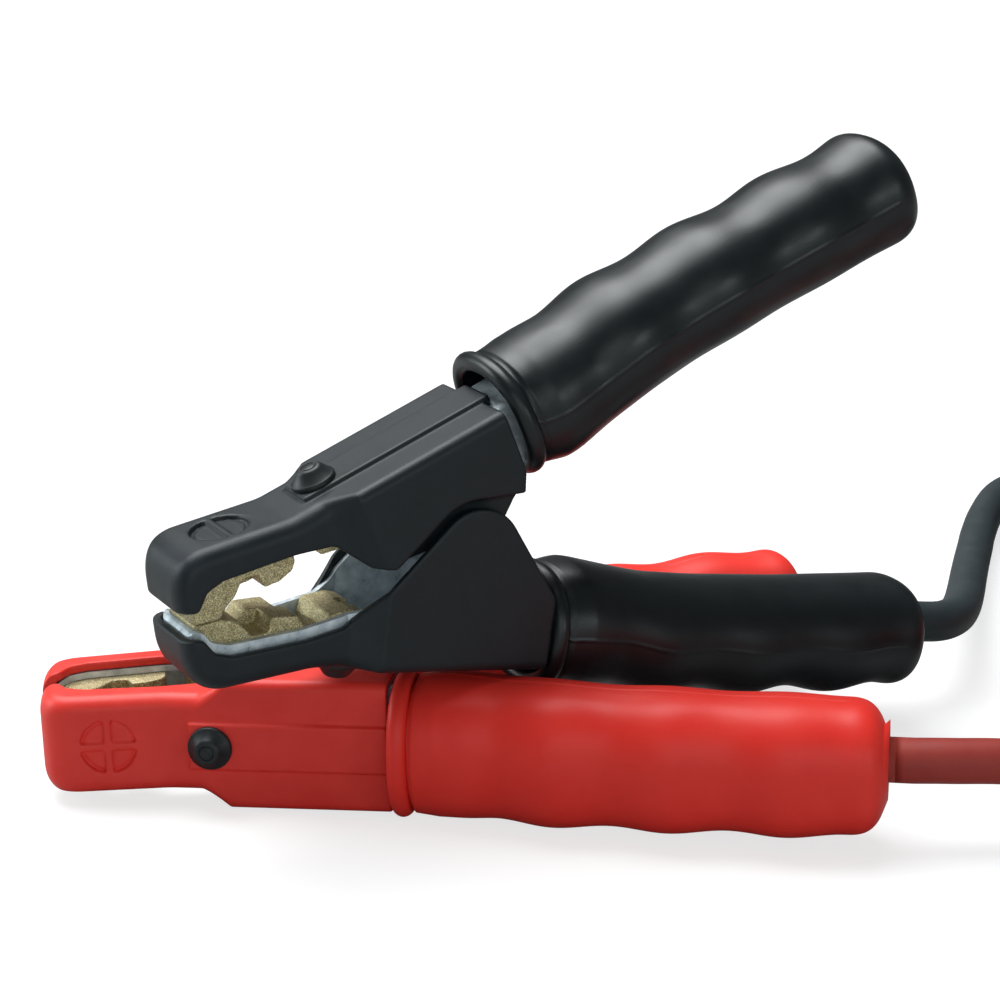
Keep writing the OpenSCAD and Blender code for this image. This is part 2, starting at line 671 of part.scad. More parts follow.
black_grip_front = black_cover_back + bead_gap;
red_grip_front = red_cover_back + bead_gap;
black_grip_back = black_grip_front + black_lead_grip_len;
red_grip_back = red_grip_front + red_grip_len;
black_exit = placed(inner_pt(inner_len(black_grip_back), black_lean), black_at, black_turn);
black_dir = unit(black_exit - placed(inner_pt(0, black_lean), black_at, black_turn));
red_exit = placed(inner_pt(inner_len(red_grip_back), red_lean), red_at, red_turn);
red_dir = unit(red_exit - placed(inner_pt(0, red_lean), red_at, red_turn));

// Each coil: its middle, the angle where its lead comes in, and which way it winds
red_coil = [175.5, 17.5];
red_coil_from = -90;
red_coil_way = 1;
black_coil = [193.5, 143.5];
black_coil_from = 115;
black_coil_way = -1;
low_z = tie_t + tie_gap + lead_r;
high_z = low_z + coil_pitch;
coil_sweep = 360 * (2 * coil_turns + 0.5);
coil_rings = ceil(coil_sweep / 360 * rings_per_turn);
in_sweep = 360 * coil_turns;
inner_r = coil_r - coil_pitch * coil_turns;

// Radius and height of a coil after winding through s degrees: in, up and out again
function wind_r(s) =
    s <= in_sweep ? coil_r - coil_pitch * s / 360 :
    s >= in_sweep + 180 ? inner_r + coil_pitch * (s - in_sweep - 180) / 360 :
    let (t = (s - in_sweep) / 180) inner_r - coil_pitch * t * (1 - t) / 2;
function wind_z(s) =
    let (t = min(1, max(0, (s - in_sweep) / 180))) low_z + coil_pitch * t * t * (3 - 2 * t);
function wind_at(c, from, way, s) =
    let (a = from + way * s) [c[0] + wind_r(s) * cos(a), c[1] + wind_r(s) * sin(a), wind_z(s)];
function wound(c, from, way) =
    [for (i = [0 : coil_rings]) wind_at(c, from, way, coil_sweep * i / coil_rings)];

red_wound = wound(red_coil, red_coil_from, red_coil_way);
black_wound = wound(black_coil, black_coil_from, black_coil_way);

// A smooth run through route points, in n steps from each to the next
function spline_pt(p, i, t) =
    let (
        a = p[max(i - 1, 0)], b = p[i], c = p[i + 1], d = p[min(i + 2, len(p) - 1)],
        m = (c - a) / 2, n = (d - b) / 2
    )
    (2 * pow(t, 3) - 3 * pow(t, 2) + 1) * b + (pow(t, 3) - 2 * pow(t, 2) + t) * m
        + (3 * pow(t, 2) - 2 * pow(t, 3)) * c + (pow(t, 3) - pow(t, 2)) * n;
function smooth_run(p, n) = concat(
    [for (i = [0 : len(p) - 2]) for (k = [0 : n - 1]) spline_pt(p, i, k / n)],
    [p[len(p) - 1]]
);

// Routes of the free stretches over the floor
red_route = [[86.5, -45.3, 17.3], [99.5, -43.9, 16.4], [115.5, -42.2, 13],
    [133.5, -40.4, 9.2], [153.5, -39, 6.6]];
black_route = [[94.9, 35.2, 17.2], [98.5, 39.6, 16.2], [101.8, 46.8, 15], [104.9, 58, 13.4],
    [108, 72, 11.8], [111.5, 89, 10], [114.9, 105, 8.6], [118.1, 119.5, 7.4], [121.1, 133, 6.5],
    [126.3, 152.5, 5.6], [133.1, 171, 5.2], [142.5, 182.2, 5.3], [153.9, 188.4, 5.7]];
plug_at = [286.5, 77.5];
pole_z = plug_h / 2;
tail_in = 9;
red_pole = [plug_at[0], plug_at[1] - pole_pitch / 2];
black_pole = [plug_at[0], plug_at[1] + pole_pitch / 2];
red_tail_route = [[231.5, 25.5, 15.4], [232.7, 37, 14.8], [236.8, 49, 13.2], [244.5, 59.5, 11],
    [255.5, 66.5, 9.1], [268.5, 69.3, 8.2]];
black_tail_route = [[246.8, 159.5, 15.4], [249.1, 145.5, 15.4], [249.5, 129.5, 15.4],
    [252.3, 114.5, 14.2], [258.3, 101.5, 12], [266.9, 91.7, 9.7], [276.5, 86.7, 8.3]];

module lead_tube(path) tube(path, lead_r, 8, [0, 0, 1]);
module coil_tube(path) tube(path, lead_r, 6, [0, 0, 1]);
// Two stretches of a lead face each other across a small gap, after a short straight run
butt_gap = 0.3;
straight = 3;
function ahead(path, i) = unit(path[i + 1] - path[i]);
function free_run(at, dir, route, coil) =
    let (way = ahead(coil, 0))
    concat(
        [at + butt_gap * dir],
        smooth_run(concat([at + (butt_gap + straight) * dir], route,
            [coil[0] - (butt_gap + straight) * way]), 2),
        [coil[0] - butt_gap * way]
    );
function tail_run(coil, route, pole) =
    let (end = coil[coil_rings], way = ahead(coil, coil_rings - 1))
    concat(
        [end + butt_gap * way],
        smooth_run(concat([end + (butt_gap + straight) * way], route,
            [[pole[0], pole[1], pole_z], [pole[0] + tail_in, pole[1], pole_z]]), 2)
    );

// A tie round all turns of a coil, at an angle where they lie flat in two layers
tie_sag = pow(tie_w / 2, 2) / (2 * (inner_r - lead_r));
module tie(c, angle, near, wide) translate([c[0], c[1], 0]) rotate([0, 0, angle])
    translate([near - lead_r - tie_gap - tie_sag, tie_w / 2, 0]) rotate([90, 0, 0]) linear_extrude(tie_w)
        difference() {
            tie_loop(wide - near + lead_d + 2 * tie_gap + tie_sag, coil_pitch + lead_d + 2 * tie_gap, tie_t);
            translate([0, tie_t]) square([
                wide - near + lead_d + 2 * tie_gap + tie_sag, coil_pitch + lead_d + 2 * tie_gap]);
        }
module tie_loop(w, h, t) translate([-t, 0]) polygon(rounded([
    [0, 0, t], [w + 2 * t, 0, t], [w + 2 * t, h + 2 * t, t], [0, h + 2 * t, t],
]));
// The least and greatest radius of the turns that pass an angle s degrees after the start
tie_after = 180;
tie_near = min(wind_r(tie_after + 360), wind_r(tie_after + 720));
tie_wide = max(wind_r(tie_after), wind_r(tie_after + 1080));

mouth_w = 11;
mouth_high = 11.4;
mouth_deep = 20;
tongue_w = 7;
tongue_len = 17;
contact_r = 4;
module connector_housing() difference() {
    translate([plug_at[0], plug_at[1] - plug_w / 2, 0]) run_extrude(0, plug_len)
        polygon(rounded([[0, 0, 2], [plug_w, 0, 2], [plug_w, plug_h, 2], [0, plug_h, 2]]));
    for (pole = [red_pole, black_pole]) translate([pole[0], pole[1], pole_z]) {
        rotate([0, 90, 0]) translate([0, 0, -1]) cylinder(r = lead_r + seat_gap, h = tail_in + 1 + seat_gap);
        rotate([0, 90, 0]) cylinder(r = contact_r + seat_gap, h = plug_len - mouth_deep + 1);
        translate([plug_len - mouth_deep, -mouth_w / 2, -mouth_high / 2])
            cube([mouth_deep + 1, mouth_w, mouth_high]);
    }
    for (side = [-1, 1]) translate([plug_at[0] + 14, plug_at[1] + side * (plug_w / 2 + 1), -1])
        for (i = [0 : 4]) translate([3 * i, 0, 0]) cylinder(r = 1, h = plug_h + 2, $fn = 16);
}
module contact(pole) translate([pole[0], pole[1], pole_z]) {
    rotate([0, 90, 0]) translate([0, 0, tail_in + 2 * seat_gap])
        cylinder(r = contact_r, h = plug_len - mouth_deep - tail_in - 2 * seat_gap);
    translate([plug_len - mouth_deep - 1, -tongue_w / 2, -tongue_t / 2])
        cube([tongue_len + 1, tongue_w, tongue_t]);
}

echo(coil_gap = least_gap(red_wound, lead_d, 12), spring_gap = least_gap(spring_path, wire_d, 12));
echo(black_exit = black_exit, black_dir = black_dir, red_exit = red_exit, red_dir = red_dir);

// ---- the named pieces ----

module black_lead_frame() color(zinc) black_frame() lead_side() lead_frame(black_cover_back);
module black_swing_frame() color(zinc) black_frame() swing_frame();
module black_lead_cover() color(black_plastic) black_frame() lead_side()
    lead_cover(black_sign, black_cover_back);
module black_swing_cover() color(black_plastic) black_frame() swing_cover(black_sign);
module black_lead_grip() color(black_grip_tint) black_frame() lead_side()
    lead_grip(black_grip_front, black_lead_grip_len, black_settle, black_lean);
module black_swing_grip() color(black_grip_tint) black_frame()
    grip(swing_grip_front, black_grip_len, black_settle);
module black_lead_jaw() color(brass) black_frame() lead_side() jaw(lead_near_row, lead_other_row);
module black_swing_jaw() color(brass) black_frame() jaw(swing_near_row, swing_other_row);
module black_lead_heel() color(brass) black_frame() lead_side() heel();
module black_swing_heel() color(brass) black_frame() heel();
module black_lead_rivet() color(black_plastic) black_frame() lead_side() rivet();
module black_swing_rivet() color(black_plastic) black_frame() rivet();
module black_pivot_pin() color(zinc) black_frame() pivot_pin();
module black_spring() color(zinc) black_frame() spring();
module black_lug() color(copper) black_frame() lead_side() lug();
module black_lug_screw() color(zinc) black_frame() lead_side() lug_screw();
module black_lead_inner() color(black_cable) black_frame() lead_side()
    lead_inner(black_grip_back, black_lean);
module red_lead_frame() color(zinc) red_frame() lead_side() lead_frame(red_cover_back);
module red_swing_frame() color(zinc) red_frame() swing_frame();
module red_lead_cover() color(red_plastic) red_frame() lead_side()
    lead_cover(red_sign, red_cover_back);
module red_swing_cover() color(red_plastic) red_frame() swing_cover(red_sign);
module red_lead_grip() color(red_plastic) red_frame() lead_side()
    lead_grip(red_grip_front, red_grip_len, red_settle, red_lean);
module red_swing_grip() color(red_plastic) red_frame()
    grip(swing_grip_front, red_grip_len, red_settle);
module red_lead_jaw() color(brass) red_frame() lead_side() jaw(lead_near_row, lead_other_row);
module red_swing_jaw() color(brass) red_frame() jaw(swing_near_row, swing_other_row);
module red_lead_heel() color(brass) red_frame() lead_side() heel();
module red_swing_heel() color(brass) red_frame() heel();
module red_lead_rivet() color(black_plastic) red_frame() lead_side() rivet();
module red_swing_rivet() color(black_plastic) red_frame() rivet();
module red_pivot_pin() color(zinc) red_frame() pivot_pin();
module red_spring() color(zinc) red_frame() spring();
module red_lug() color(copper) red_frame() lead_side() lug();
module red_lug_screw() color(zinc) red_frame() lead_side() lug_screw();
module red_lead_inner() color(red_cable) red_frame() lead_side()
    lead_inner(red_grip_back, red_lean);
module black_lead_free() color(black_cable)
    lead_tube(free_run(black_exit, black_dir, black_route, black_wound));
module black_coil_part() color(black_cable) coil_tube(black_wound);
module black_tie() color(black_plastic)
    tie(black_coil, black_coil_from + black_coil_way * tie_after, tie_near, tie_wide);
module black_tail() color(black_cable)
    lead_tube(tail_run(black_wound, black_tail_route, black_pole));
module black_contact() color(copper) contact(black_pole);
module red_lead_free() color(red_cable)
    lead_tube(free_run(red_exit, red_dir, red_route, red_wound));
module red_coil_part() color(red_cable) coil_tube(red_wound);
module red_tie() color(black_plastic)
    tie(red_coil, red_coil_from + red_coil_way * tie_after, tie_near, tie_wide);
module red_tail() color(red_cable)
    lead_tube(tail_run(red_wound, red_tail_route, red_pole));
module red_contact() color(copper) contact(red_pole);
module connector() color(black_plastic) connector_housing();

black_lead_frame();
black_swing_frame();
black_lead_cover();
black_swing_cover();
black_lead_grip();
black_swing_grip();
black_lead_jaw();
black_swing_jaw();
black_lead_heel();
black_swing_heel();
black_lead_rivet();
black_swing_rivet();
black_pivot_pin();
black_spring();
black_lug();
black_lug_screw();
black_lead_inner();
red_lead_frame();
red_swing_frame();
red_lead_cover();
red_swing_cover();
red_lead_grip();
red_swing_grip();
red_lead_jaw();
red_swing_jaw();
red_lead_heel();
red_swing_heel();
red_lead_rivet();
red_swing_rivet();
red_pivot_pin();
red_spring();
red_lug();
red_lug_screw();
red_lead_inner();
black_lead_free();
black_coil_part();  // black_coil
black_tie();
black_tail();
black_contact();
red_lead_free();
red_coil_part();  // red_coil
red_tie();
red_tail();
red_contact();
connector();  // connector_housing
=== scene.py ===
"""Looks of a car battery charger's clamp leads: two spring clamps, their leads and a connector.

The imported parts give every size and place. This script gives them their finish, and draws again, in
finer meshes, the pieces whose form carries the look: covers, grips, jaws, heels, rivets, springs and
leads. Meshes are in metres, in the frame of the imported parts; sizes are written in millimetres and
multiplied by MM.
"""

from __future__ import annotations

import json
import logging
import math
from dataclasses import dataclass, field
from enum import Enum

import bmesh
import bpy
import numpy as np
from mathutils import Matrix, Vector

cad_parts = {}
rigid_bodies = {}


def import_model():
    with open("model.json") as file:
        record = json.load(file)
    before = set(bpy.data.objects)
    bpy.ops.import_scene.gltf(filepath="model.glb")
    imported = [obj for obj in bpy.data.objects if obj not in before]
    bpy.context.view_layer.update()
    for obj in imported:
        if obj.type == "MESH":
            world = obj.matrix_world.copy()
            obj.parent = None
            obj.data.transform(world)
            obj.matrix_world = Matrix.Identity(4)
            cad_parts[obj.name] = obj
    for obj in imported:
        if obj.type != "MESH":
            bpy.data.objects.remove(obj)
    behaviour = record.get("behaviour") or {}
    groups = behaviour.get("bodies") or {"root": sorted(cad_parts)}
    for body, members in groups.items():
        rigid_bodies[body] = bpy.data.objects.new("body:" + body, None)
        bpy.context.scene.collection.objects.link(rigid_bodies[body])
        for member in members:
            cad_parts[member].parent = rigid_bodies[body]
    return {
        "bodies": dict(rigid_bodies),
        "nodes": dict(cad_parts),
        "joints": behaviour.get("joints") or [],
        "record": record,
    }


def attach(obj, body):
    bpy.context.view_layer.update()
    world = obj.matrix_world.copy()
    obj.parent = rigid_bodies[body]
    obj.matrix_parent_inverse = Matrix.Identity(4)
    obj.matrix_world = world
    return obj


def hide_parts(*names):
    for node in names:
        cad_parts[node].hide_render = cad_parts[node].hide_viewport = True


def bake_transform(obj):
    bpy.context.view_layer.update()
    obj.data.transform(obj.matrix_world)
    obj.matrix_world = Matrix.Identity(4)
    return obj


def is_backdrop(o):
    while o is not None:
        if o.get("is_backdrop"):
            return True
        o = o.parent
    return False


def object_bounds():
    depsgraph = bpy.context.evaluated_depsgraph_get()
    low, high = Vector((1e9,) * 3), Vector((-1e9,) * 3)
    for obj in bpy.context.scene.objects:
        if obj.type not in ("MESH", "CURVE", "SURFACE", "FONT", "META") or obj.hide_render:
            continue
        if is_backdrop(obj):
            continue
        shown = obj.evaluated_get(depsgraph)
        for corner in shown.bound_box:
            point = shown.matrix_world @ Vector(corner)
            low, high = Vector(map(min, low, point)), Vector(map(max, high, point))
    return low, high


MM = 0.001
LOG = logging.getLogger("clamp_leads")
Triple = tuple[float, float, float]


# ---------------------------------------------------------------- places and small maths


def turn_matrix(turn: Triple) -> np.ndarray:
    """Rotation about X, then Y, then Z: the product of the three plain rotations.

    Args:
        turn: the three angles in degrees.

    Returns:
        A 4 by 4 matrix.
    """
    rx, ry, rz = (math.radians(a) for a in turn)
    about_x = np.array([[1, 0, 0], [0, math.cos(rx), -math.sin(rx)], [0, math.sin(rx), math.cos(rx)]])
    about_y = np.array([[math.cos(ry), 0, math.sin(ry)], [0, 1, 0], [-math.sin(ry), 0, math.cos(ry)]])
    about_z = np.array([[math.cos(rz), -math.sin(rz), 0], [math.sin(rz), math.cos(rz), 0], [0, 0, 1]])
    out = np.eye(4)
    out[:3, :3] = about_z @ about_y @ about_x
    return out


def move_matrix(x: float, y: float, z: float) -> np.ndarray:
    """A plain move.

    Args:
        x: how far along X.
        y: how far along Y.
        z: how far along Z.

    Returns:
        A 4 by 4 matrix.
    """
    out = np.eye(4)
    out[:3, 3] = (x, y, z)
    return out


def apply(matrix: np.ndarray, points: np.ndarray) -> np.ndarray:
    """Points carried through a 4 by 4 matrix."""
    return points @ matrix[:3, :3].T + matrix[:3, 3]


def unit(v: np.ndarray) -> np.ndarray:
    """Each vector of an array scaled to length one."""
    return v / np.linalg.norm(v, axis=-1, keepdims=True)


def smooth_run(points: np.ndarray, steps: int) -> np.ndarray:
    """A smooth line through route points.

    Between each two points it is the cubic that leaves and arrives with half the way from the point
    before to the point after.

    Args:
        points: the route, one point a row.
        steps: steps from each point to the next.

    Returns:
        The points of the line.
    """
    before = np.vstack([points[:1], points[:-2]])
    after = np.vstack([points[2:], points[-1:]])
    start, end = points[:-1, None], points[1:, None]
    leave, arrive = (end - before[:, None]) / 2, (after[:, None] - start) / 2
    t = (np.arange(steps) / steps)[None, :, None]
    run = (
        (2 * t**3 - 3 * t**2 + 1) * start
        + (t**3 - 2 * t**2 + t) * leave
        + (3 * t**2 - 2 * t**3) * end
        + (t**3 - t**2) * arrive
    )
    return np.vstack([run.reshape(-1, 3), points[-1:]])


class Side(Enum):
    """The two levers of a clamp."""

    LEAD = "lead"
    SWING = "swing"


@dataclass(frozen=True)
class Lever:
    """Sizes that both levers of a clamp share, in millimetres and degrees.

    A lever's own frame has its x back along the outer face from the pivot pin and its z out of it.
    """

    angle: float = 15.0
    face_h: float = 23.3
    handle_from: float = 12.0
    handle_rise: float = 3.0
    web_top: float = 21.8
    swing_back: float = 15.0
    swing_grip: float = 17.0
    bead_gap: float = 0.6
    grip_middle: float = 68.0
    inner_from: float = 33.5
    inner_z: float = -6.0
    lead_past: float = 1.0


@dataclass(frozen=True)
class Placement:
    """Where a clamp lies, in millimetres and degrees, and the sizes of its own.

    Attributes:
        colour: its colour, which starts the names of its pieces.
        at: the middle of its pivot pin.
        turn: its turn about X, then Y, then Z.
        lead_back: where the lead lever's cover ends, along its outer face from the pivot pin.
        lead_grip_len: length of the lead lever's grip.
        swing_grip_len: length of the swinging lever's grip.
        grip_shift: how far the grips sit to one side of their handles.
        grip_turn: how far the grips are turned on their handles.
        lean: the lead's turn about Y and about Z inside its grip.
        bars: the directions of the polarity sign's bars, one for minus and two for plus.
    """

    colour: str
    at: Triple
    turn: Triple
    lead_back: float
    lead_grip_len: float
    swing_grip_len: float
    grip_shift: float
    grip_turn: float
    lean: tuple[float, float]
    bars: tuple[float, ...]

    @property
    def swing_body(self) -> str:
        """The body that the swinging lever's pieces ride on."""
        return f"{self.colour}_lever"

    def body(self, side: Side) -> str:
        """The body that a side's pieces ride on."""
        return self.swing_body if side is Side.SWING else "leads"

    def back(self, side: Side) -> float:
        """Where a side's cover ends, along its outer face from the pivot pin."""
        return LEVER.swing_back if side is Side.SWING else self.lead_back

    def grip_front(self, side: Side) -> float:
        """Where a side's grip starts, along its outer face from the pivot pin."""
        return LEVER.swing_grip if side is Side.SWING else self.lead_back + LEVER.bead_gap

    def grip_len(self, side: Side) -> float:
        """Length of a side's grip."""
        return self.swing_grip_len if side is Side.SWING else self.lead_grip_len

    def matrix(self) -> np.ndarray:
        """From the clamp's own frame to the shared one, in millimetres."""
        return move_matrix(*self.at) @ turn_matrix(self.turn)

    def side_matrix(self, side: Side) -> np.ndarray:
        """From a lever's frame to the shared one; the lead lever is the other's mirror image."""
        mirror = np.diag([1.0, 1.0, -1.0 if side is Side.LEAD else 1.0, 1.0])
        return self.matrix() @ mirror @ turn_matrix((0, -LEVER.angle, 0))

    def grip_matrix(self, side: Side) -> np.ndarray:
        """From a grip's frame to the shared one; a grip may sit a little askew on its handle."""
        settle = move_matrix(LEVER.grip_middle, self.grip_shift, 0) @ turn_matrix((0, 0, self.grip_turn))
        return self.side_matrix(side) @ settle @ move_matrix(-LEVER.grip_middle, 0, 0)

    def lead_line(self) -> np.ndarray:
        """The lead's middle line inside its grip, which lies along the handle and leans a little.

        Returns:
            Its start and its exit, in the shared frame, in millimetres.
        """
        handle = (
            self.side_matrix(Side.LEAD)
            @ move_matrix(LEVER.handle_from, 0, LEVER.web_top)
            @ turn_matrix((0, -LEVER.handle_rise, 0))
            @ move_matrix(LEVER.inner_from, 0, LEVER.inner_z)
            @ turn_matrix((0, *self.lean))
        )
        back = self.grip_front(Side.LEAD) + self.lead_grip_len
        run = back - LEVER.handle_from - LEVER.inner_from + LEVER.lead_past
        return apply(handle, np.array([[0.0, 0.0, 0.0], [run, 0.0, 0.0]]))


LEVER = Lever()
BLACK = Placement(
    colour="black",
    at=(-8.7, -22.8, 54.5),
    turn=(0, -6.6, 28.1),
    lead_back=18.0,
    lead_grip_len=94.0,
    swing_grip_len=99.4,
    grip_shift=0.0,
    grip_turn=0.0,
    lean=(1.5, 2.0),
    bars=(0.0,),
)
RED = Placement(
    colour="red",
    at=(-31, -8, 14.3),
    turn=(-90, -2, 6),
    lead_back=14.6,
    lead_grip_len=95.0,
    swing_grip_len=95.0,
    grip_shift=1.3,
    grip_turn=1.0,
    lean=(1.5, 0.6),
    bars=(0.0, 90.0),
)
CLAMPS = (BLACK, RED)


# ---------------------------------------------------------------- meshes


class MeshMaker:
    """Makes smooth shaded objects from arrays of points, with every mesh in the shared frame."""

    MERGE_GAP = 0.002 * MM
    EASE = 0.5

    @staticmethod
    def link(name: str, mesh: bpy.types.Mesh) -> bpy.types.Object:
        """Shades a mesh smooth and puts it in the scene.

        Args:
            name: the object's name.
            mesh: its mesh.

        Returns:
            The object.
        """
        mesh.polygons.foreach_set("use_smooth", np.ones(len(mesh.polygons), bool))
        mesh.update()
        obj = bpy.data.objects.new(name, mesh)
        bpy.context.scene.collection.objects.link(obj)
        return obj

    @staticmethod
    def skin(name: str, points: np.ndarray, faces: list[list[int]]) -> bpy.types.Object:
        """An object of given faces.

        Args:
            name: the object's name.
            points: its points, one a row, in metres.
            faces: the points of each face.

        Returns:
            The object.
        """
        mesh = bpy.data.meshes.new(name)
        mesh.from_pydata(points.tolist(), [], faces)
        return MeshMaker.link(name, mesh)

    @staticmethod
    def grid(name: str, rings: np.ndarray, caps: bool = True, flip: bool = False) -> bpy.types.Object:
        """A skin over closed rings that all have the same number of points.

        Args:
            name: the object's name.
            rings: an array of rings by points by three, in metres.
            caps: whether both ends are closed with a face.
            flip: whether the faces look the other way.

        Returns:
            The object.
        """
        count, around = rings.shape[:2]
        k, i = np.meshgrid(np.arange(count - 1), np.arange(around), indexing="ij")
        j = (i + 1) % around
        low, high = k * around, (k + 1) * around
        faces = np.stack([low + i, low + j, high + j, high + i], axis=-1).reshape(-1, 4).tolist()
        if caps:
            faces.append(list(range(around))[::-1])
            faces.append(list(range((count - 1) * around, count * around)))
        if flip:
            faces = [face[::-1] for face in faces]
        return MeshMaker.skin(name, rings.reshape(-1, 3), faces)

    @staticmethod
    def tube(
        name: str, path: np.ndarray, radius: float, around: int, ref: np.ndarray
    ) -> bpy.types.Object:
        """A round tube: a circle square to each point of a path.

        Args:
            name: the object's name.
            path: the points of its middle line, in metres.
            radius: its radius, in metres.
            around: points round it.
            ref: a direction that the path never runs along.

        Returns:
            The object.
        """
        ahead = unit(np.gradient(path, axis=0))
        side = unit(np.cross(ahead, ref))
        up = np.cross(side, ahead)
        a = np.linspace(0, 2 * math.pi, around, endpoint=False)[None, :, None]
        rings = path[:, None] + radius * (side[:, None] * np.cos(a) + up[:, None] * np.sin(a))
        return MeshMaker.grid(name, rings, flip=True)

    @staticmethod
    def lathe(
        name: str, matrix: np.ndarray, profile: tuple[tuple[float, float], ...], around: int
    ) -> bpy.types.Object:
        """A turned piece: a profile of radius and height carried round its axis.

        Args:
            name: the object's name.
            matrix: from its frame, with z as its axis, to the shared one in millimetres.
            profile: radius and height of each ring, from its base to its top.
            around: points in a ring.

        Returns:
            The object.
        """
        a = 2 * math.pi * np.arange(around) / around
        r, z = np.array(profile).T[:, :, None]
        rings = np.stack(np.broadcast_arrays(r * np.cos(a), r * np.sin(a), z), axis=-1)
        flip = np.linalg.det(matrix[:3, :3]) < 0
        return MeshMaker.grid(name, apply(matrix, rings) * MM, flip=flip)

    @staticmethod
    def moulded(
        name: str, source: bpy.types.Object, voxel: float, passes: int, matrix: np.ndarray
    ) -> bpy.types.Object:
        """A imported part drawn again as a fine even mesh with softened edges.

        Args:
            name: the new object's name.
            source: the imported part.
            voxel: size of the new mesh's faces, in metres.
            passes: how many times its points are eased, which rounds the edges.
            matrix: a turn whose axes the new mesh's faces follow.

        Returns:
            The object.
        """
        turn = Matrix(matrix.tolist())
        mesh = source.data.copy()
        shell = bmesh.new()
        shell.from_mesh(mesh)
        bmesh.ops.remove_doubles(shell, verts=shell.verts, dist=MeshMaker.MERGE_GAP)
        shell.to_mesh(mesh)
        shell.free()
        mesh.transform(turn.inverted())
        mesh.materials.clear()
        rough = MeshMaker.link(f"{name}_rough", mesh)
        remesh = rough.modifiers.new("even", "REMESH")
        remesh.mode = "VOXEL"
        remesh.voxel_size = voxel
        ease = rough.modifiers.new("ease", "SMOOTH")
        ease.factor = MeshMaker.EASE
        ease.iterations = passes
        bpy.context.view_layer.update()
        graph = bpy.context.evaluated_depsgraph_get()
        fine = bpy.data.meshes.new_from_object(rough.evaluated_get(graph))
        fine.transform(turn)
        fine.name = name
        bpy.data.objects.remove(rough)
        bpy.data.meshes.remove(mesh)
        return MeshMaker.link(name, fine)


# ---------------------------------------------------------------- carved solids


class Outline:
    """A closed flat outline whose corners are rounded, and the distance to it."""

    ARC_STEPS = 12
    STRAIGHT = math.radians(89)

    def __init__(self, corners: list[Triple]) -> None:
        """Rounds the corners.

        Args:
            corners: x, y and rounding radius of each corner, in order.
        """
        points = []
        for i, (x, y, r) in enumerate(corners):
            p = np.array([x, y])
            before, after = np.array(corners[i - 1][:2]), np.array(corners[(i + 1) % len(corners)][:2])
            points.extend([p] if r <= 0 else self.arc(unit(before - p), p, unit(after - p), r))
        self.points = np.array(points)

    def arc(self, one: np.ndarray, p: np.ndarray, two: np.ndarray, r: float) -> np.ndarray:
        """The arc that rounds a corner: a point turned about the centre, from one side to the other.

        Args:
            one: direction to the corner before.
            p: the corner.
            two: direction to the corner after.
            r: radius of the arc.

        Returns:
            Its points, one a row, or the corner itself where the outline runs on almost straight.
        """
        half = math.acos(float(np.clip(one @ two, -1, 1))) / 2
        if half > self.STRAIGHT:
            return p[None]
        centre = p + unit(one + two) * r / math.sin(half)
        start = p + one * r / math.tan(half) - centre
        end = p + two * r / math.tan(half) - centre
        sweep = math.atan2(start[0] * end[1] - start[1] * end[0], start @ end)
        turns = sweep * np.arange(self.ARC_STEPS + 1) / self.ARC_STEPS
        square = np.array([-start[1], start[0]])
        return centre + np.outer(np.cos(turns), start) + np.outer(np.sin(turns), square)

    def distance(self, x: np.ndarray, y: np.ndarray) -> np.ndarray:
        """Distance to the nearest stretch of the outline, with its sign from how often it is crossed.

        Args:
            x: where the points are across.
            y: where they are up.

        Returns:
            The distances, negative inside the outline.
        """
        best = np.full(x.shape, np.inf)
        inside = np.zeros(x.shape, bool)
        for (ax, ay), (bx, by) in zip(self.points, np.roll(self.points, -1, axis=0)):
            ex, ey, px, py = bx - ax, by - ay, x - ax, y - ay
            t = np.clip((px * ex + py * ey) / max(ex * ex + ey * ey, 1e-12), 0, 1)
            best = np.minimum(best, (px - t * ex) ** 2 + (py - t * ey) ** 2)
            if ay != by:
                inside ^= ((ay <= y) != (by <= y)) & (px < py * ex / ey)
        return np.sqrt(best) * np.where(inside, -1, 1)


def round_both(a: np.ndarray, b: np.ndarray, r: float) -> np.ndarray:
    """Distance to what two solids share, with the edge between them rounded to r."""
    return np.minimum(np.maximum(a, b), -r) + np.hypot(np.maximum(r + a, 0), np.maximum(r + b, 0))


def round_either(a: np.ndarray, b: np.ndarray, r: float) -> np.ndarray:
    """Distance to two solids together, with a fillet of radius r between them."""
    return -round_both(-a, -b, r)


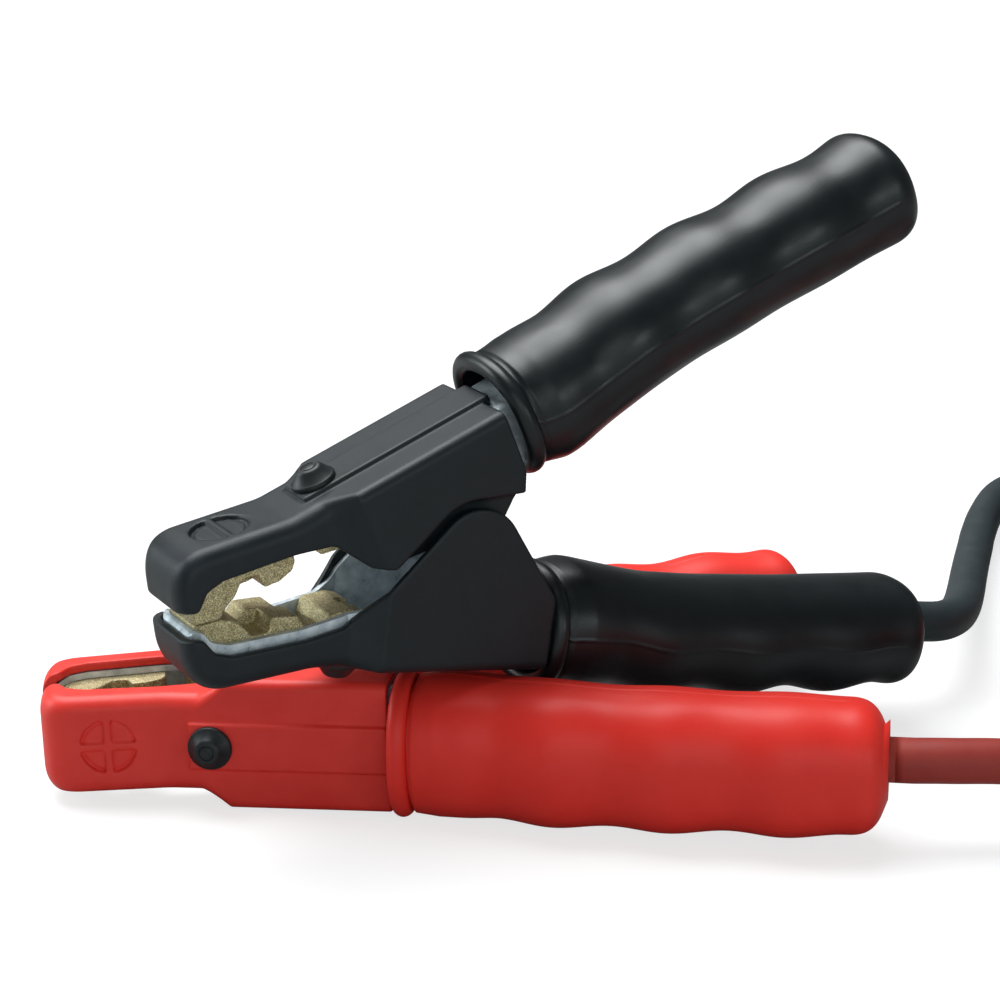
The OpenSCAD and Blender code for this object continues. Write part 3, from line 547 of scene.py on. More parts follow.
class Carver:
    """Skins a solid that is given as distances on a grid of points."""

    def __init__(self, low: Triple, high: Triple, step: float) -> None:
        """Lays the grid.

        Args:
            low: lowest corner, in millimetres.
            high: highest corner, in millimetres.
            step: distance between grid points, in millimetres.
        """
        self.low, self.step = np.array(low), step
        x, y, z = (np.arange(a, b + step, step) for a, b in zip(low, high))
        self.x, self.y, self.z = x[:, None, None], y[None, :, None], z[None, None, :]

    @staticmethod
    def soften(distances: np.ndarray) -> np.ndarray:
        """Rounds a solid's crisp edges: each distance becomes a quarter, a half and a quarter of three.

        Args:
            distances: distances at the grid's points.

        Returns:
            The eased distances.
        """
        for axis in range(3):
            size = distances.shape[axis]
            padded = np.take(distances, [0, *range(size), size - 1], axis=axis)
            low, middle, high = (np.take(padded, np.arange(k, k + size), axis=axis) for k in range(3))
            distances = (low + 2 * middle + high) / 4
        return distances

    def skin(self, name: str, distances: np.ndarray, matrix: np.ndarray) -> bpy.types.Object:
        """The surface where the distances are nought.

        Each grid cell that the surface passes through gets one point, the mean of where its edges cross
        the surface. Each such edge gets a face through the four cells round it.

        Args:
            name: the object's name.
            distances: distances at the grid's points, negative inside the solid.
            matrix: from the grid's frame to the shared one, in millimetres.

        Returns:
            The object.
        """
        shape, size = distances.shape, distances.size
        strides = np.array([shape[1] * shape[2], shape[2], 1])
        sums = np.zeros((4, size))
        quads = []
        for axis in range(3):
            u, v = (axis + 1) % 3, (axis + 2) % 3
            low = np.take(distances, np.arange(shape[axis] - 1), axis=axis)
            high = np.take(distances, np.arange(1, shape[axis]), axis=axis)
            at = np.argwhere((low < 0) != (high < 0))
            at = at[(at[:, u] > 0) & (at[:, v] > 0)]
            a, b = low[tuple(at.T)], high[tuple(at.T)]
            spot = at.astype(float)
            spot[:, axis] += a / (a - b)
            cell = at @ strides
            ring = np.stack(
                [cell, cell - strides[u], cell - strides[u] - strides[v], cell - strides[v]], axis=1
            )
            for corner in ring.T:
                for j in range(3):
                    sums[j] += np.bincount(corner, spot[:, j], size)
                sums[3] += np.bincount(corner, minlength=size)
            ring[a > 0] = ring[a > 0][:, ::-1]
            quads.append(ring)
        used = np.flatnonzero(sums[3])
        points = self.low + self.step * (sums[:3, used] / sums[3, used]).T
        places = np.zeros(size, np.int64)
        places[used] = np.arange(len(used))
        faces = places[np.concatenate(quads)]
        if np.linalg.det(matrix[:3, :3]) < 0:
            faces = faces[:, ::-1]
        return MeshMaker.skin(name, apply(matrix, points) * MM, faces.tolist())


# ---------------------------------------------------------------- covers


PIN_ARC_STEPS = 24


@dataclass(frozen=True)
class CoverForm:
    """Sizes of the covers, in millimetres and degrees."""

    reach: float = 59.0
    tip_h: float = 13.3
    lip_h: float = 2.7
    mouth_h: float = 8.2
    mouth_from: float = 5.6
    mouth_back: float = -27.5
    nose_half: float = 10.0
    corner_r: float = 4.6
    nose_r: float = 8.4
    nose_wall: float = 1.8
    bend_x: float = 29.5
    bend_r: float = 14.0
    body_half: float = 13.4
    wall: float = 1.4
    edge_r: float = 3.0
    body_edge_r: float = 1.9
    inner_edge_r: float = 2.4
    sheet: float = 1.3
    seat_gap: float = 0.1
    run_gap: float = 0.3
    widen_from: float = -23.4
    widen_to: float = -17.6
    widen_power: float = 1.3
    ear_r: float = 8.9
    ear_gap: float = 2.0
    slope_front: float = 34.8
    slope_back: float = 23.2
    slope_run: float = 17.0
    arch_back: float = 75.0
    arch_r: float = 1.6
    knee: tuple[float, float] = (13.2, 6.4)
    throat_x: float = -21.4
    handle_half: float = 8.5
    handle_depth: float = 12.0
    sign_x: float = -45.9
    sign_r: float = 5.5
    sign_depth: float = 0.6
    sign_bar: float = 1.5
    sign_rim: float = 0.6
    sign_rim_depth: float = 1.0
    panel_from: float = -25.0
    panel_past: float = 1.4
    panel_half: float = 4.8
    panel_h: float = 0.9
    far: float = 200.0


@dataclass(frozen=True)
class Room:
    """A room below a lever's outer face, in millimetres.

    Attributes:
        nose: half the width of its nose.
        body: half the width of its body.
        tip: where its front is.
        drop: how far its top lies below the outer face.
        corner_r: radius of the tip's corners, seen from above.
        edge_r: radius of its long edges.
        nose_r: radius of its tip, seen from the side.
    """

    nose: float
    body: float
    tip: float
    drop: float
    corner_r: float
    edge_r: float
    nose_r: float


def lever_pt(x: float, z: float, r: float = 0.0) -> Triple:
    """A corner given in a lever's frame, in its clamp's frame."""
    a = math.radians(LEVER.angle)
    return (x * math.cos(a) - z * math.sin(a), x * math.sin(a) + z * math.cos(a), r)


def pin_arc(r: float, start: float, turn: float) -> list[Triple]:
    """Crisp corners along an arc round the pivot pin, from a start angle through a turn in degrees."""
    angles = [math.radians(start + turn * i / PIN_ARC_STEPS) for i in range(PIN_ARC_STEPS + 1)]
    return [(r * math.cos(a), r * math.sin(a), 0.0) for a in angles]


class Cover:
    """Carves the plastic cover of one lever, in that lever's frame."""

    STEP, QUICK_STEP = 0.3, 0.6
    # Lowest and highest corner of each side's grid: it holds the cover, with a margin past its body.
    GRID = {
        Side.LEAD: ((-59.0, -14.7, -10.4), (19.4, 14.7, 30.8)),
        Side.SWING: ((-59.0, -14.7, 2.0), (17.6, 14.7, 30.8)),
    }

    def __init__(self, form: CoverForm, clamp: Placement, side: Side) -> None:
        """Lays the grid, and turns its points into the clamp's frame.

        Args:
            form: the covers' sizes.
            clamp: the clamp that the cover is on.
            side: the lever that the cover is on.
        """
        self.form, self.clamp, self.side = form, clamp, side
        self.carver = Carver(*self.GRID[side], self.STEP)
        a = math.radians(LEVER.angle)
        grid = self.carver
        self.x = grid.x * math.cos(a) - grid.z * math.sin(a)
        self.z = grid.x * math.sin(a) + grid.z * math.cos(a)
        self.across = np.abs(grid.y)
        bend = lever_pt(-form.bend_x, LEVER.face_h)
        self.slope = math.atan2(bend[1] - form.tip_h, form.reach + bend[0])

    def room(self, room: Room) -> np.ndarray:
        """Distance to a room: its plan from above and its outline from the side, rounded together.

        Args:
            room: the room's sizes.

        Returns:
            The distances.
        """
        form, far = self.form, self.form.far
        share = np.clip((self.carver.x - form.widen_from) / (form.widen_to - form.widen_from), 0, 1)
        half = room.nose + (room.body - room.nose) * share**form.widen_power
        edge = room.edge_r - (room.edge_r - form.body_edge_r) * share
        front = room.tip - room.edge_r * (1 - math.sqrt(0.5))
        plan = round_both(front - self.x, self.across - half, room.corner_r)
        bend = lever_pt(-form.bend_x, LEVER.face_h)
        top = Outline([
            (front, -far, 0), (front, form.tip_h - room.drop, room.nose_r),
            (bend[0], bend[1] - room.drop, form.bend_r), lever_pt(far, LEVER.face_h - room.drop),
            (far, -far, 0),
        ])
        return round_both(plan, top.distance(self.x, self.z), edge)

    def side_view(self) -> Outline:
        """The outline of the cover below its outer face: its back, its lower edge, and its mouth.

        Returns:
            The outline, in the clamp's frame.
        """
        form, back = self.form, self.clamp.back(self.side)
        front, above = -form.reach - 8, 60.0
        mouth_front = form.mouth_from - form.reach
        mouth = [
            (form.mouth_back, form.mouth_h, 3), (form.mouth_back - 8, form.mouth_h + 0.3, 12),
            (mouth_front + 3.4, form.mouth_h - 0.8, 3), (mouth_front, form.mouth_h - 2.2, 2),
            (mouth_front - 2, form.lip_h, 1.2),
        ]
        if self.side is Side.SWING:
            low = [
                lever_pt(back, 10.5, 3), lever_pt(*form.knee, 1), lever_pt(8.6, 2.6, 1),
                (-16.6, 1.4, 1), (form.throat_x, 2.6, 1.6),
            ]
        else:
            ear = pin_arc(form.ear_r, -form.slope_back, form.slope_back - form.slope_front - 90)
            x, z, _ = ear[-1]
            rise = form.slope_run * math.tan(math.radians(form.slope_front))
            low = [lever_pt(back, 8.8, 2), *ear, (x - form.slope_run, z + rise, 6)]
        return Outline([(front, form.lip_h, 0), (front, above, 0), lever_pt(back, above), *low, *mouth])

    def arch(self) -> np.ndarray:
        """Distance to the swinging cover's room: narrow below an arch that clears the other's ears.

        Returns:
            The distances.
        """
        form, far = self.form, self.form.far
        turn = 90 + form.slope_front - form.arch_back
        wide = Outline([
            (-far, -far, 0), (-far, far, 0), (far, far, 0), lever_pt(far, -20), lever_pt(*form.knee),
            *pin_arc(form.ear_r + form.ear_gap, form.arch_back, turn),
            (-18.4, 0.6, 0), (form.throat_x, -1, 0), (form.throat_x, -far, 0),
        ])
        narrow = form.body_half - form.wall - form.seat_gap - form.sheet - form.run_gap
        return round_either(self.across - narrow, wide.distance(self.x, self.z), form.arch_r)

    def channel(self) -> np.ndarray:
        """Distance to the room of the steel handle, a block square to the handle's rise.

        Returns:
            The distances.
        """
        form, grid, a = self.form, self.carver, math.radians(LEVER.handle_rise)
        x, z = grid.x - LEVER.handle_from, grid.z - LEVER.web_top
        along, up = x * math.cos(a) + z * math.sin(a), z * math.cos(a) - x * math.sin(a)
        flat = np.maximum(np.maximum(-along, up - form.seat_gap), -up - form.handle_depth)
        return np.maximum(flat, self.across - form.handle_half - form.seat_gap)

    def sign(self) -> np.ndarray:
        """Distance to the polarity sign's pockets: a disc with a deeper rim, less the bars.

        Returns:
            The distances.
        """
        form = self.form
        x = self.x - form.sign_x
        z = self.z - form.tip_h - (form.sign_x + form.reach) * math.tan(self.slope)
        along = x * math.cos(self.slope) + z * math.sin(self.slope)
        up = z * math.cos(self.slope) - x * math.sin(self.slope)
        out = np.hypot(along, self.across) - form.sign_r
        rim = np.maximum(np.abs(out + form.sign_rim / 2) - form.sign_rim / 2, -up - form.sign_rim_depth)
        pocket = np.minimum(np.maximum(out, -up - form.sign_depth), rim)
        for turn in self.clamp.bars:
            bar = self.across if turn else np.abs(along)
            pocket = np.maximum(pocket, form.sign_bar / 2 - bar)
        return pocket

    def panel(self) -> np.ndarray:
        """Distance to the raised panel on the outer face.

        Returns:
            The distances.
        """
        form, grid = self.form, self.carver
        back = self.clamp.back(self.side) + (form.panel_past if self.side is Side.SWING else 0)
        ends = np.maximum(form.panel_from - grid.x, grid.x - back)
        faces = np.maximum(grid.z - LEVER.face_h - form.panel_h, LEVER.face_h - form.wall - grid.z)
        return np.maximum(np.maximum(ends, faces), self.across - form.panel_half)

    def build(self) -> bpy.types.Object:
        """The cover, with its mouth, its room for the steel, its panel and its sign.

        Returns:
            The object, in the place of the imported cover.
        """
        form, swings = self.form, self.side is Side.SWING
        inner = form.nose_half - form.nose_wall
        outside = Room(
            nose=form.nose_half,
            body=form.body_half,
            tip=-form.reach,
            drop=0.0,
            corner_r=form.corner_r,
            edge_r=form.edge_r,
            nose_r=form.nose_r,
        )
        inside = Room(
            nose=inner,
            body=inner if swings else form.body_half - form.wall,
            tip=form.nose_wall - form.reach,
            drop=form.wall,
            corner_r=form.corner_r - form.nose_wall,
            edge_r=form.inner_edge_r,
            nose_r=form.nose_r - form.nose_wall,
        )
        solid = np.maximum(self.room(outside), self.side_view().distance(self.x, self.z))
        if swings:
            solid = np.maximum(solid, self.arch())
        solid = np.maximum(np.maximum(solid, -self.room(inside)), -self.channel())
        solid = np.maximum(np.minimum(solid, self.panel()), -self.sign())
        name = f"{self.clamp.colour}_{self.side.value}_cover"
        matrix = self.clamp.side_matrix(self.side)
        obj = self.carver.skin(f"{name}_fine", self.carver.soften(solid), matrix)
        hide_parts(name)
        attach(obj, self.clamp.body(self.side))
        return obj


# ---------------------------------------------------------------- materials


@dataclass(frozen=True)
class Finish:
    """How a surface looks.

    Attributes:
        name: the material slot that it fills.
        tones: the two colours that its mottle runs between, as hex strings.
        mottle_mm: size of the mottle.
        roughness: how dull it is.
        rough_spread: how much duller or glossier the mottle makes it.
        grain_mm: size of the grain.
        grain_depth: depth of the grain, in millimetres.
        metallic: how much of it shines as metal does.
        specular: strength of its plain shine.
        speck: how dark the grain's pits are.
    """

    name: str
    tones: tuple[str, str]
    mottle_mm: float
    roughness: float
    rough_spread: float
    grain_mm: float
    grain_depth: float
    metallic: float = 0.0
    specular: float = 0.5
    speck: float = 0.0


def linear(colour: str) -> tuple[float, float, float, float]:
    """A screen colour in linear light: each channel, raised by 0.055, to the power 2.4.

    Args:
        colour: the colour as a hex string.

    Returns:
        Red, green, blue and full alpha.
    """
    values = [int(colour[i : i + 2], 16) / 255 for i in (1, 3, 5)]
    return (*(v / 12.92 if v <= 0.04045 else ((v + 0.055) / 1.055) ** 2.4 for v in values), 1.0)


def add_node(tree: bpy.types.NodeTree, kind: str, inputs: dict, **settings: str) -> bpy.types.Node:
    """Adds a shader node with its settings and links.

    Args:
        tree: the node tree.
        kind: the node's type.
        inputs: a value or another node's output for each input, by name or number.
        settings: the node's own properties.

    Returns:
        The node.
    """
    node = tree.nodes.new(kind)
    for key, value in settings.items():
        setattr(node, key, value)
    for key, value in inputs.items():
        if isinstance(value, bpy.types.NodeSocket):
            tree.links.new(value, node.inputs[key])
        else:
            node.inputs[key].default_value = value
    return node


@dataclass
class MaterialMaker:
    """Builds one procedural material for each finish."""

    made: dict[str, bpy.types.Material] = field(default_factory=dict)

    MOTTLE_NOISE = {"Detail": 5.0, "Roughness": 0.6}
    GRAIN_NOISE = {"Detail": 2.0, "Roughness": 0.5}
    MOTTLE_RANGE = {"From Min": 0.3, "From Max": 0.7}
    SPECK_RANGE = {"From Min": 0.42, "From Max": 0.62}

    def get(self, finish: Finish) -> bpy.types.Material:
        """The material of a finish, made at its first use.

        Args:
            finish: the finish.

        Returns:
            The material.
        """
        if finish.name not in self.made:
            self.made[finish.name] = self.build(finish)
        return self.made[finish.name]

    def build(self, finish: Finish) -> bpy.types.Material:
        """A material of two noises: a broad mottle for tone and gloss, and a fine grain for relief.

        Args:
            finish: the finish.

        Returns:
            The material.
        """
        material = bpy.data.materials.new(finish.name)
        material.use_nodes = True
        tree = material.node_tree
        tree.nodes.clear()
        place = add_node(tree, "ShaderNodeTexCoord", {}).outputs["Object"]
        in_mm = add_node(tree, "ShaderNodeVectorMath", {0: place, "Scale": 1 / MM}, operation="SCALE")
        noises = ((finish.mottle_mm, self.MOTTLE_NOISE), (finish.grain_mm, self.GRAIN_NOISE))
        mottle, grain = (
            add_node(tree, "ShaderNodeTexNoise", {"Vector": in_mm.outputs[0], "Scale": 1 / size, **kind})
            for size, kind in noises
        )
        mottle, grain = mottle.outputs["Fac"], grain.outputs["Fac"]
        spread = {"Value": mottle, **self.MOTTLE_RANGE}
        share = add_node(tree, "ShaderNodeMapRange", spread).outputs["Result"]
        tones = {0: share, 6: linear(finish.tones[0]), 7: linear(finish.tones[1])}
        colour = add_node(tree, "ShaderNodeMix", tones, data_type="RGBA").outputs[2]
        if finish.speck:
            limits = {"To Min": 1 - finish.speck, "To Max": 1 + finish.speck / 2}
            pits = add_node(tree, "ShaderNodeMapRange", {"Value": grain, **self.SPECK_RANGE, **limits})
            shade = {0: colour, "Scale": pits.outputs["Result"]}
            colour = add_node(tree, "ShaderNodeVectorMath", shade, operation="SCALE").outputs[0]
        low, high = finish.roughness - finish.rough_spread, finish.roughness + finish.rough_spread
        rough = add_node(tree, "ShaderNodeMapRange", {**spread, "To Min": low, "To Max": high})
        relief = {"Height": grain, "Strength": 1.0, "Distance": finish.grain_depth * MM}
        shader = add_node(tree, "ShaderNodeBsdfPrincipled", {
            "Base Color": colour,
            "Roughness": rough.outputs["Result"],
            "Normal": add_node(tree, "ShaderNodeBump", relief).outputs["Normal"],
            "Metallic": finish.metallic,
            "Specular IOR Level": finish.specular,
        })
        add_node(tree, "ShaderNodeOutputMaterial", {"Surface": shader.outputs["BSDF"]})
        return material


FINISHES = {
    finish.name: finish
    for finish in (
        # Hard nylon from a spark-eroded mould: dull, with an even grain that breaks up the lamps. The real
        # grain is about 0.1 mm, and it is drawn two to three times as coarse so that it shows.
        Finish("black_cover", ("#0e171b", "#131e23"), 6.0, 0.46, 0.04, 0.24, 0.040, specular=0.36),
        Finish("red_cover", ("#e8332a", "#ee3d33"), 9.0, 0.46, 0.04, 0.30, 0.016, specular=0.35),
        # Soft PVC from a smooth mould: a broad soft shine over a slightly uneven skin.
        Finish("black_grip", ("#0b1215", "#10181b"), 8.0, 0.36, 0.05, 0.45, 0.018, specular=0.42),
        Finish("red_grip", ("#f0332a", "#f53b31"), 10.0, 0.42, 0.04, 0.50, 0.016, specular=0.28),
        # Pressed sheet with bright zinc plate: pale and bluish, in clouds, part mirror and part dull.
        Finish("zinc_steel", ("#b0bec5", "#e6eff4"), 2.2, 0.36, 0.10, 0.30, 0.020, metallic=0.4),
        # Drawn spring wire: darker and glossier than the plated sheet.
        Finish("spring_steel", ("#8f979c", "#a5acb0"), 2.0, 0.30, 0.06, 0.20, 0.010, metallic=1.0),
        # Brass pressed and sintered from powder: open pits between bright grains, with no clear mirror.
        Finish(
            "sintered_brass", ("#b6a775", "#e2d5a8"), 1.2, 0.42, 0.08, 0.24, 0.10,
            metallic=0.35, speck=0.55,
        ),
        # Moulded nylon rivets: a little glossier than the covers.
        Finish("rivet_plastic", ("#1a1e20", "#202527"), 3.0, 0.42, 0.05, 0.20, 0.02, specular=0.35),
        # Bare drawn copper: a warm metal with faint clouds.
        Finish("copper", ("#b8774c", "#c4875a"), 2.0, 0.35, 0.08, 0.20, 0.02, metallic=1.0),
        # Extruded rubbery sheath: dull, and paler than the grips.
        Finish("black_cable", ("#262e31", "#2d3639"), 6.0, 0.55, 0.05, 0.35, 0.02, specular=0.3),
        Finish("red_cable", ("#9a342d", "#a53c33"), 6.0, 0.55, 0.05, 0.35, 0.02, specular=0.3),
        # Moulded nylon strap: smooth, with a moderate shine.
        Finish("tie_plastic", ("#1a1c1e", "#202224"), 4.0, 0.40, 0.05, 0.30, 0.02),
        # Glass-filled nylon: grey, dull and slightly rough.
        Finish("connector_plastic", ("#232729", "#2a2e30"), 5.0, 0.50, 0.05, 0.25, 0.03),
    )
}


# ---------------------------------------------------------------- grips


@dataclass(frozen=True)
class GripForm:
    """The sleeve on a handle, in millimetres along and square to the lever's outer face."""

    width: float = 28.4
    end_width: float = 26.6
    taper: tuple[float, float] = (30.0, 105.0)
    wall: float = 2.4
    mouth_gap: float = 0.4
    mouth_depth: float = 14.0
    mouth_edge: float = 1.2
    bead_r: float = 1.9
    bead_sink: float = 1.7
    neck: tuple[float, float] = (4.6, 9.0)
    neck_sink: float = 0.7
    wave_h: float = 0.5
    side_wave_h: float = 0.5
    wave_pitch: float = 22.3
    wave_from: float = 24.0
    wave_in: float = 12.0
    first_crest: float = 46.5
    end_round: float = 8.0
    end_power: float = 2.6
    end_flat: float = 0.62
    power: float = 2.25
    hole_r: float = 6.5
    seam_h: float = 0.16
    ease: float = 3.0
    outer_x: tuple[float, ...] = (18, 22, 25, 34, 46, 60, 125)
    outer_z: tuple[float, ...] = (30.2, 30.0, 29.3, 30.2, 31.2, 31.9, 31.7)
    inner_x: tuple[float, ...] = (18, 22, 27, 40, 47, 60, 80, 100, 112, 125)
    inner_z: tuple[float, ...] = (5.2, 5.0, 4.2, 6.7, 7.9, 8.6, 8.9, 8.6, 8.3, 8.1)

    AROUND = 144
    EASE_STEPS = 13
    SEAM_HALF = 0.03
    SEAM_CLEAR = 0.06

    def eased(self, x: np.ndarray, xs: tuple[float, ...], zs: tuple[float, ...]) -> np.ndarray:
        """A table read as the mean of places a few millimetres round x, so that it has no corners.

        Args:
            x: where it is read.
            xs: the table's places.
            zs: its values at them.

        Returns:
            The values at x.
        """
        around = np.linspace(-self.ease, self.ease, self.EASE_STEPS)
        return np.interp(x[:, None] + around, xs, zs).mean(axis=1)

    def angles(self) -> np.ndarray:
        """Where a section's points lie round it: evenly, and closer together at the two moulding seams.

        Returns:
            The angles, in order.
        """
        seam = self.SEAM_HALF * np.arange(-3, 4) / 2
        even = 2 * math.pi * (np.arange(self.AROUND) + 0.5) / self.AROUND
        apart = np.abs((even + math.pi / 2) % math.pi - math.pi / 2) > self.SEAM_CLEAR
        return np.sort(np.concatenate([even[apart], seam % (2 * math.pi), seam + math.pi]))

    def rings(
        self, x: np.ndarray, grow: np.ndarray | float, shrink: np.ndarray | float = 1.0, seam: float = 0.0
    ) -> np.ndarray:
        """Rounded sections at each x, in the lever's frame.

        A section is an ellipse whose sine and cosine are raised to a power below one, which makes it
        squarer. Its half width and its height follow the finger waves, a cosine along x.

        Args:
            x: places along the lever.
            grow: what is added to a section's half sizes.
            shrink: a factor on those half sizes.
            seam: how far the moulding seams stand out.

        Returns:
            An array of sections by points by three, in millimetres.
        """
        wave = np.clip((x - self.wave_from) / self.wave_in, 0, 1)
        wave = wave * np.cos(2 * math.pi * (x - self.first_crest) / self.wave_pitch)
        high = self.eased(x, self.outer_x, self.outer_z) + self.wave_h * wave
        low = self.eased(x, self.inner_x, self.inner_z)
        half = np.interp(x, self.taper, (self.width / 2, self.end_width / 2)) + self.side_wave_h * wave
        a = self.angles()
        cos, sin = np.cos(a), np.sin(a)
        from_seam = np.abs((a + math.pi / 2) % math.pi - math.pi / 2)
        line = seam * np.clip(1 - from_seam / self.SEAM_HALF, 0, 1)
        across = np.sign(cos) * np.abs(cos) ** (2 / self.power)
        along = np.sign(sin) * np.abs(sin) ** (2 / self.power)
        y = (((half + grow) * shrink)[:, None] + line) * across
        z = ((high + low) / 2)[:, None] + (((high - low) / 2 + grow) * shrink)[:, None] * along
        return np.stack([np.broadcast_to(x[:, None], y.shape), y, z], axis=-1)


GRIPS = {Side.LEAD: GripForm(wave_h=0.8, side_wave_h=0.3), Side.SWING: GripForm()}


@dataclass(frozen=True)
class Grip:
    """Draws the sleeve on one handle."""

    form: GripForm
    clamp: Placement
    side: Side

    MOUTH_RINGS = 8
    BEAD_RINGS = 16
    BEAD_ARC = (1.35 * math.pi, -0.15 * math.pi)
    SKIN_RINGS = 150
    END_RINGS = 22
    END_FROM = 0.04
    # Rings of the hole: how far past the end they are, and how much wider than the hole.
    HOLE = ((-0.1, 1.1), (-0.15, 0.55), (-0.45, 0.15), (-1.0, 0.0), (-6.0, 0.0), (-16.0, 0.0))

    def build(self) -> bpy.types.Object:
        """The sleeve with its mouth, its rolled bead, its finger waves and its rounded end.

        Returns:
            The object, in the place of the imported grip.
        """
        form, front = self.form, self.clamp.grip_front(self.side)
        back = front + self.clamp.grip_len(self.side)
        inside = np.linspace(form.mouth_depth, form.mouth_edge, self.MOUTH_RINGS)
        lip = np.linspace(*self.BEAD_ARC, self.BEAD_RINGS)
        lip_x, lip_r = front + form.bead_r * (1 + np.cos(lip)), form.bead_r * np.sin(lip) - form.bead_sink
        skin_x = np.linspace(front + form.neck[0], back - form.end_round, self.SKIN_RINGS)
        neck = np.interp(skin_x - front, form.neck, (-form.neck_sink, 0.0))
        t = np.sin(np.linspace(self.END_FROM, 1.0, self.END_RINGS)[:-1] * math.pi / 2)
        shrink = (1 - t**form.end_power) ** (1 / form.end_power)
        if self.side is Side.LEAD:
            t, shrink = t[shrink > form.end_flat], shrink[shrink > form.end_flat]
        parts = [
            form.rings(front + inside, -form.wall - form.mouth_gap),
            form.rings(lip_x, lip_r),
            form.rings(skin_x, neck, seam=form.seam_h),
            form.rings(back + form.end_round * (t - 1), 0.0, shrink),
        ]
        if self.side is Side.LEAD:
            parts.append(self.hole(back))
        points = apply(self.clamp.grip_matrix(self.side), np.concatenate(parts)) * MM
        name = f"{self.clamp.colour}_{self.side.value}_grip"
        swings = self.side is Side.SWING
        obj = MeshMaker.grid(f"{name}_fine", points, caps=swings, flip=not swings)
        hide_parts(name)
        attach(obj, self.clamp.body(self.side))
        return obj

    def hole(self, back: float) -> np.ndarray:
        """The hole for the lead: circles about the lead's line, from the end into the sleeve.

        Args:
            back: where the grip's end is.

        Returns:
            An array of rings by points by three, in millimetres.
        """
        start, end = apply(np.linalg.inv(self.clamp.grip_matrix(Side.LEAD)), self.clamp.lead_line())
        past, wider = np.array(self.HOLE).T[:, :, None]
        x = back + past
        middle = start + (x - start[0]) * (end - start) / (end - start)[0]
        a, r = self.form.angles(), self.form.hole_r + wider
        y, z = middle[:, 1:2] + r * np.cos(a), middle[:, 2:] + r * np.sin(a)
        return np.stack(np.broadcast_arrays(x, y, z), axis=-1)


# ---------------------------------------------------------------- springs


@dataclass(frozen=True)
class SpringForm:
    """The torsion spring round a pivot pin, in millimetres and degrees."""

    wire_d: float = 1.8
    radius: float = 4.9
    turns: float = 4.0
    leg: float = 26.0
    pitch: float = 2.3
    end: float = -16.8
    twist_half: float = 4.0

    STEPS = 180
    LEG_STEPS = 10
    AROUND = 14


@dataclass(frozen=True)
class Spring:
    """Draws a torsion spring round a pivot pin."""

    form: SpringForm
    clamp: Placement

    def path(self) -> np.ndarray:
        """The wire's middle line: a helix round the pin, with a straight leg at each end.

        Returns:
            Its points in the clamp's frame, in millimetres.
        """
        form = self.form
        end = math.radians(form.end)
        sweep = 2 * math.pi * form.turns + 2 * end
        share = np.arange(form.STEPS + 1) / form.STEPS
        a = sweep * share - end
        half = form.pitch * sweep / (4 * math.pi)
        y = half - 2 * half * share
        coil = np.stack([form.radius * np.cos(a), y, form.radius * np.sin(a)], axis=-1)
        reach = np.linspace(1, 0, form.LEG_STEPS, endpoint=False)[:, None] * form.leg
        square = end + math.pi / 2
        first = coil[0] + reach * np.array([math.cos(square), 0, -math.sin(square)])
        last = coil[-1] + reach[::-1] * np.array([math.cos(square), 0, math.sin(square)])
        return np.vstack([first, coil, last])

    def build(self) -> bpy.types.Object:
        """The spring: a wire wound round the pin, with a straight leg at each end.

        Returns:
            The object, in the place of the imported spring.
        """
        form, name = self.form, f"{self.clamp.colour}_spring"
        matrix = self.clamp.matrix()
        axis = matrix[:3, 1]
        obj = MeshMaker.tube(
            f"{name}_wire", apply(matrix, self.path()) * MM, form.wire_d / 2 * MM, form.AROUND, axis
        )
        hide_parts(name)
        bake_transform(obj)
        return obj


# ---------------------------------------------------------------- leads


@dataclass(frozen=True)
class LeadRoute:
    """The way of one lead over the floor, in millimetres and degrees.

    Attributes:
        clamp: the clamp that it comes from.
        free: the points that it passes from its grip to its coil.
        coil_at: the middle of its coil.
        coil_from: where on the coil it arrives.
        coil_way: 1 where the coil is wound the way angles grow, and -1 the other way.
        tail: the points that it passes from its coil to the connector.
        pole: where it meets the connector.
        pieces: what is on it; not used.
    """

    clamp: Placement
    free: tuple[Triple, ...]
    coil_at: tuple[float, float]
    coil_from: float
    coil_way: int
    tail: tuple[Triple, ...]
    pole: Triple
    pieces: tuple[str, ...]


@dataclass(frozen=True)
class LeadForm:
    """Sizes that both leads share, in millimetres."""

    diameter: float = 8.7
    coil_r: float = 56.0
    pitch: float = 9.4
    turns: float = 1.875
    low_z: float = 6.0
    straight: float = 3.3
    into_pole: float = 9.0

    STEPS = 8
    COIL_STEPS = 260
    INNER_STEPS = 12
    AROUND = 40


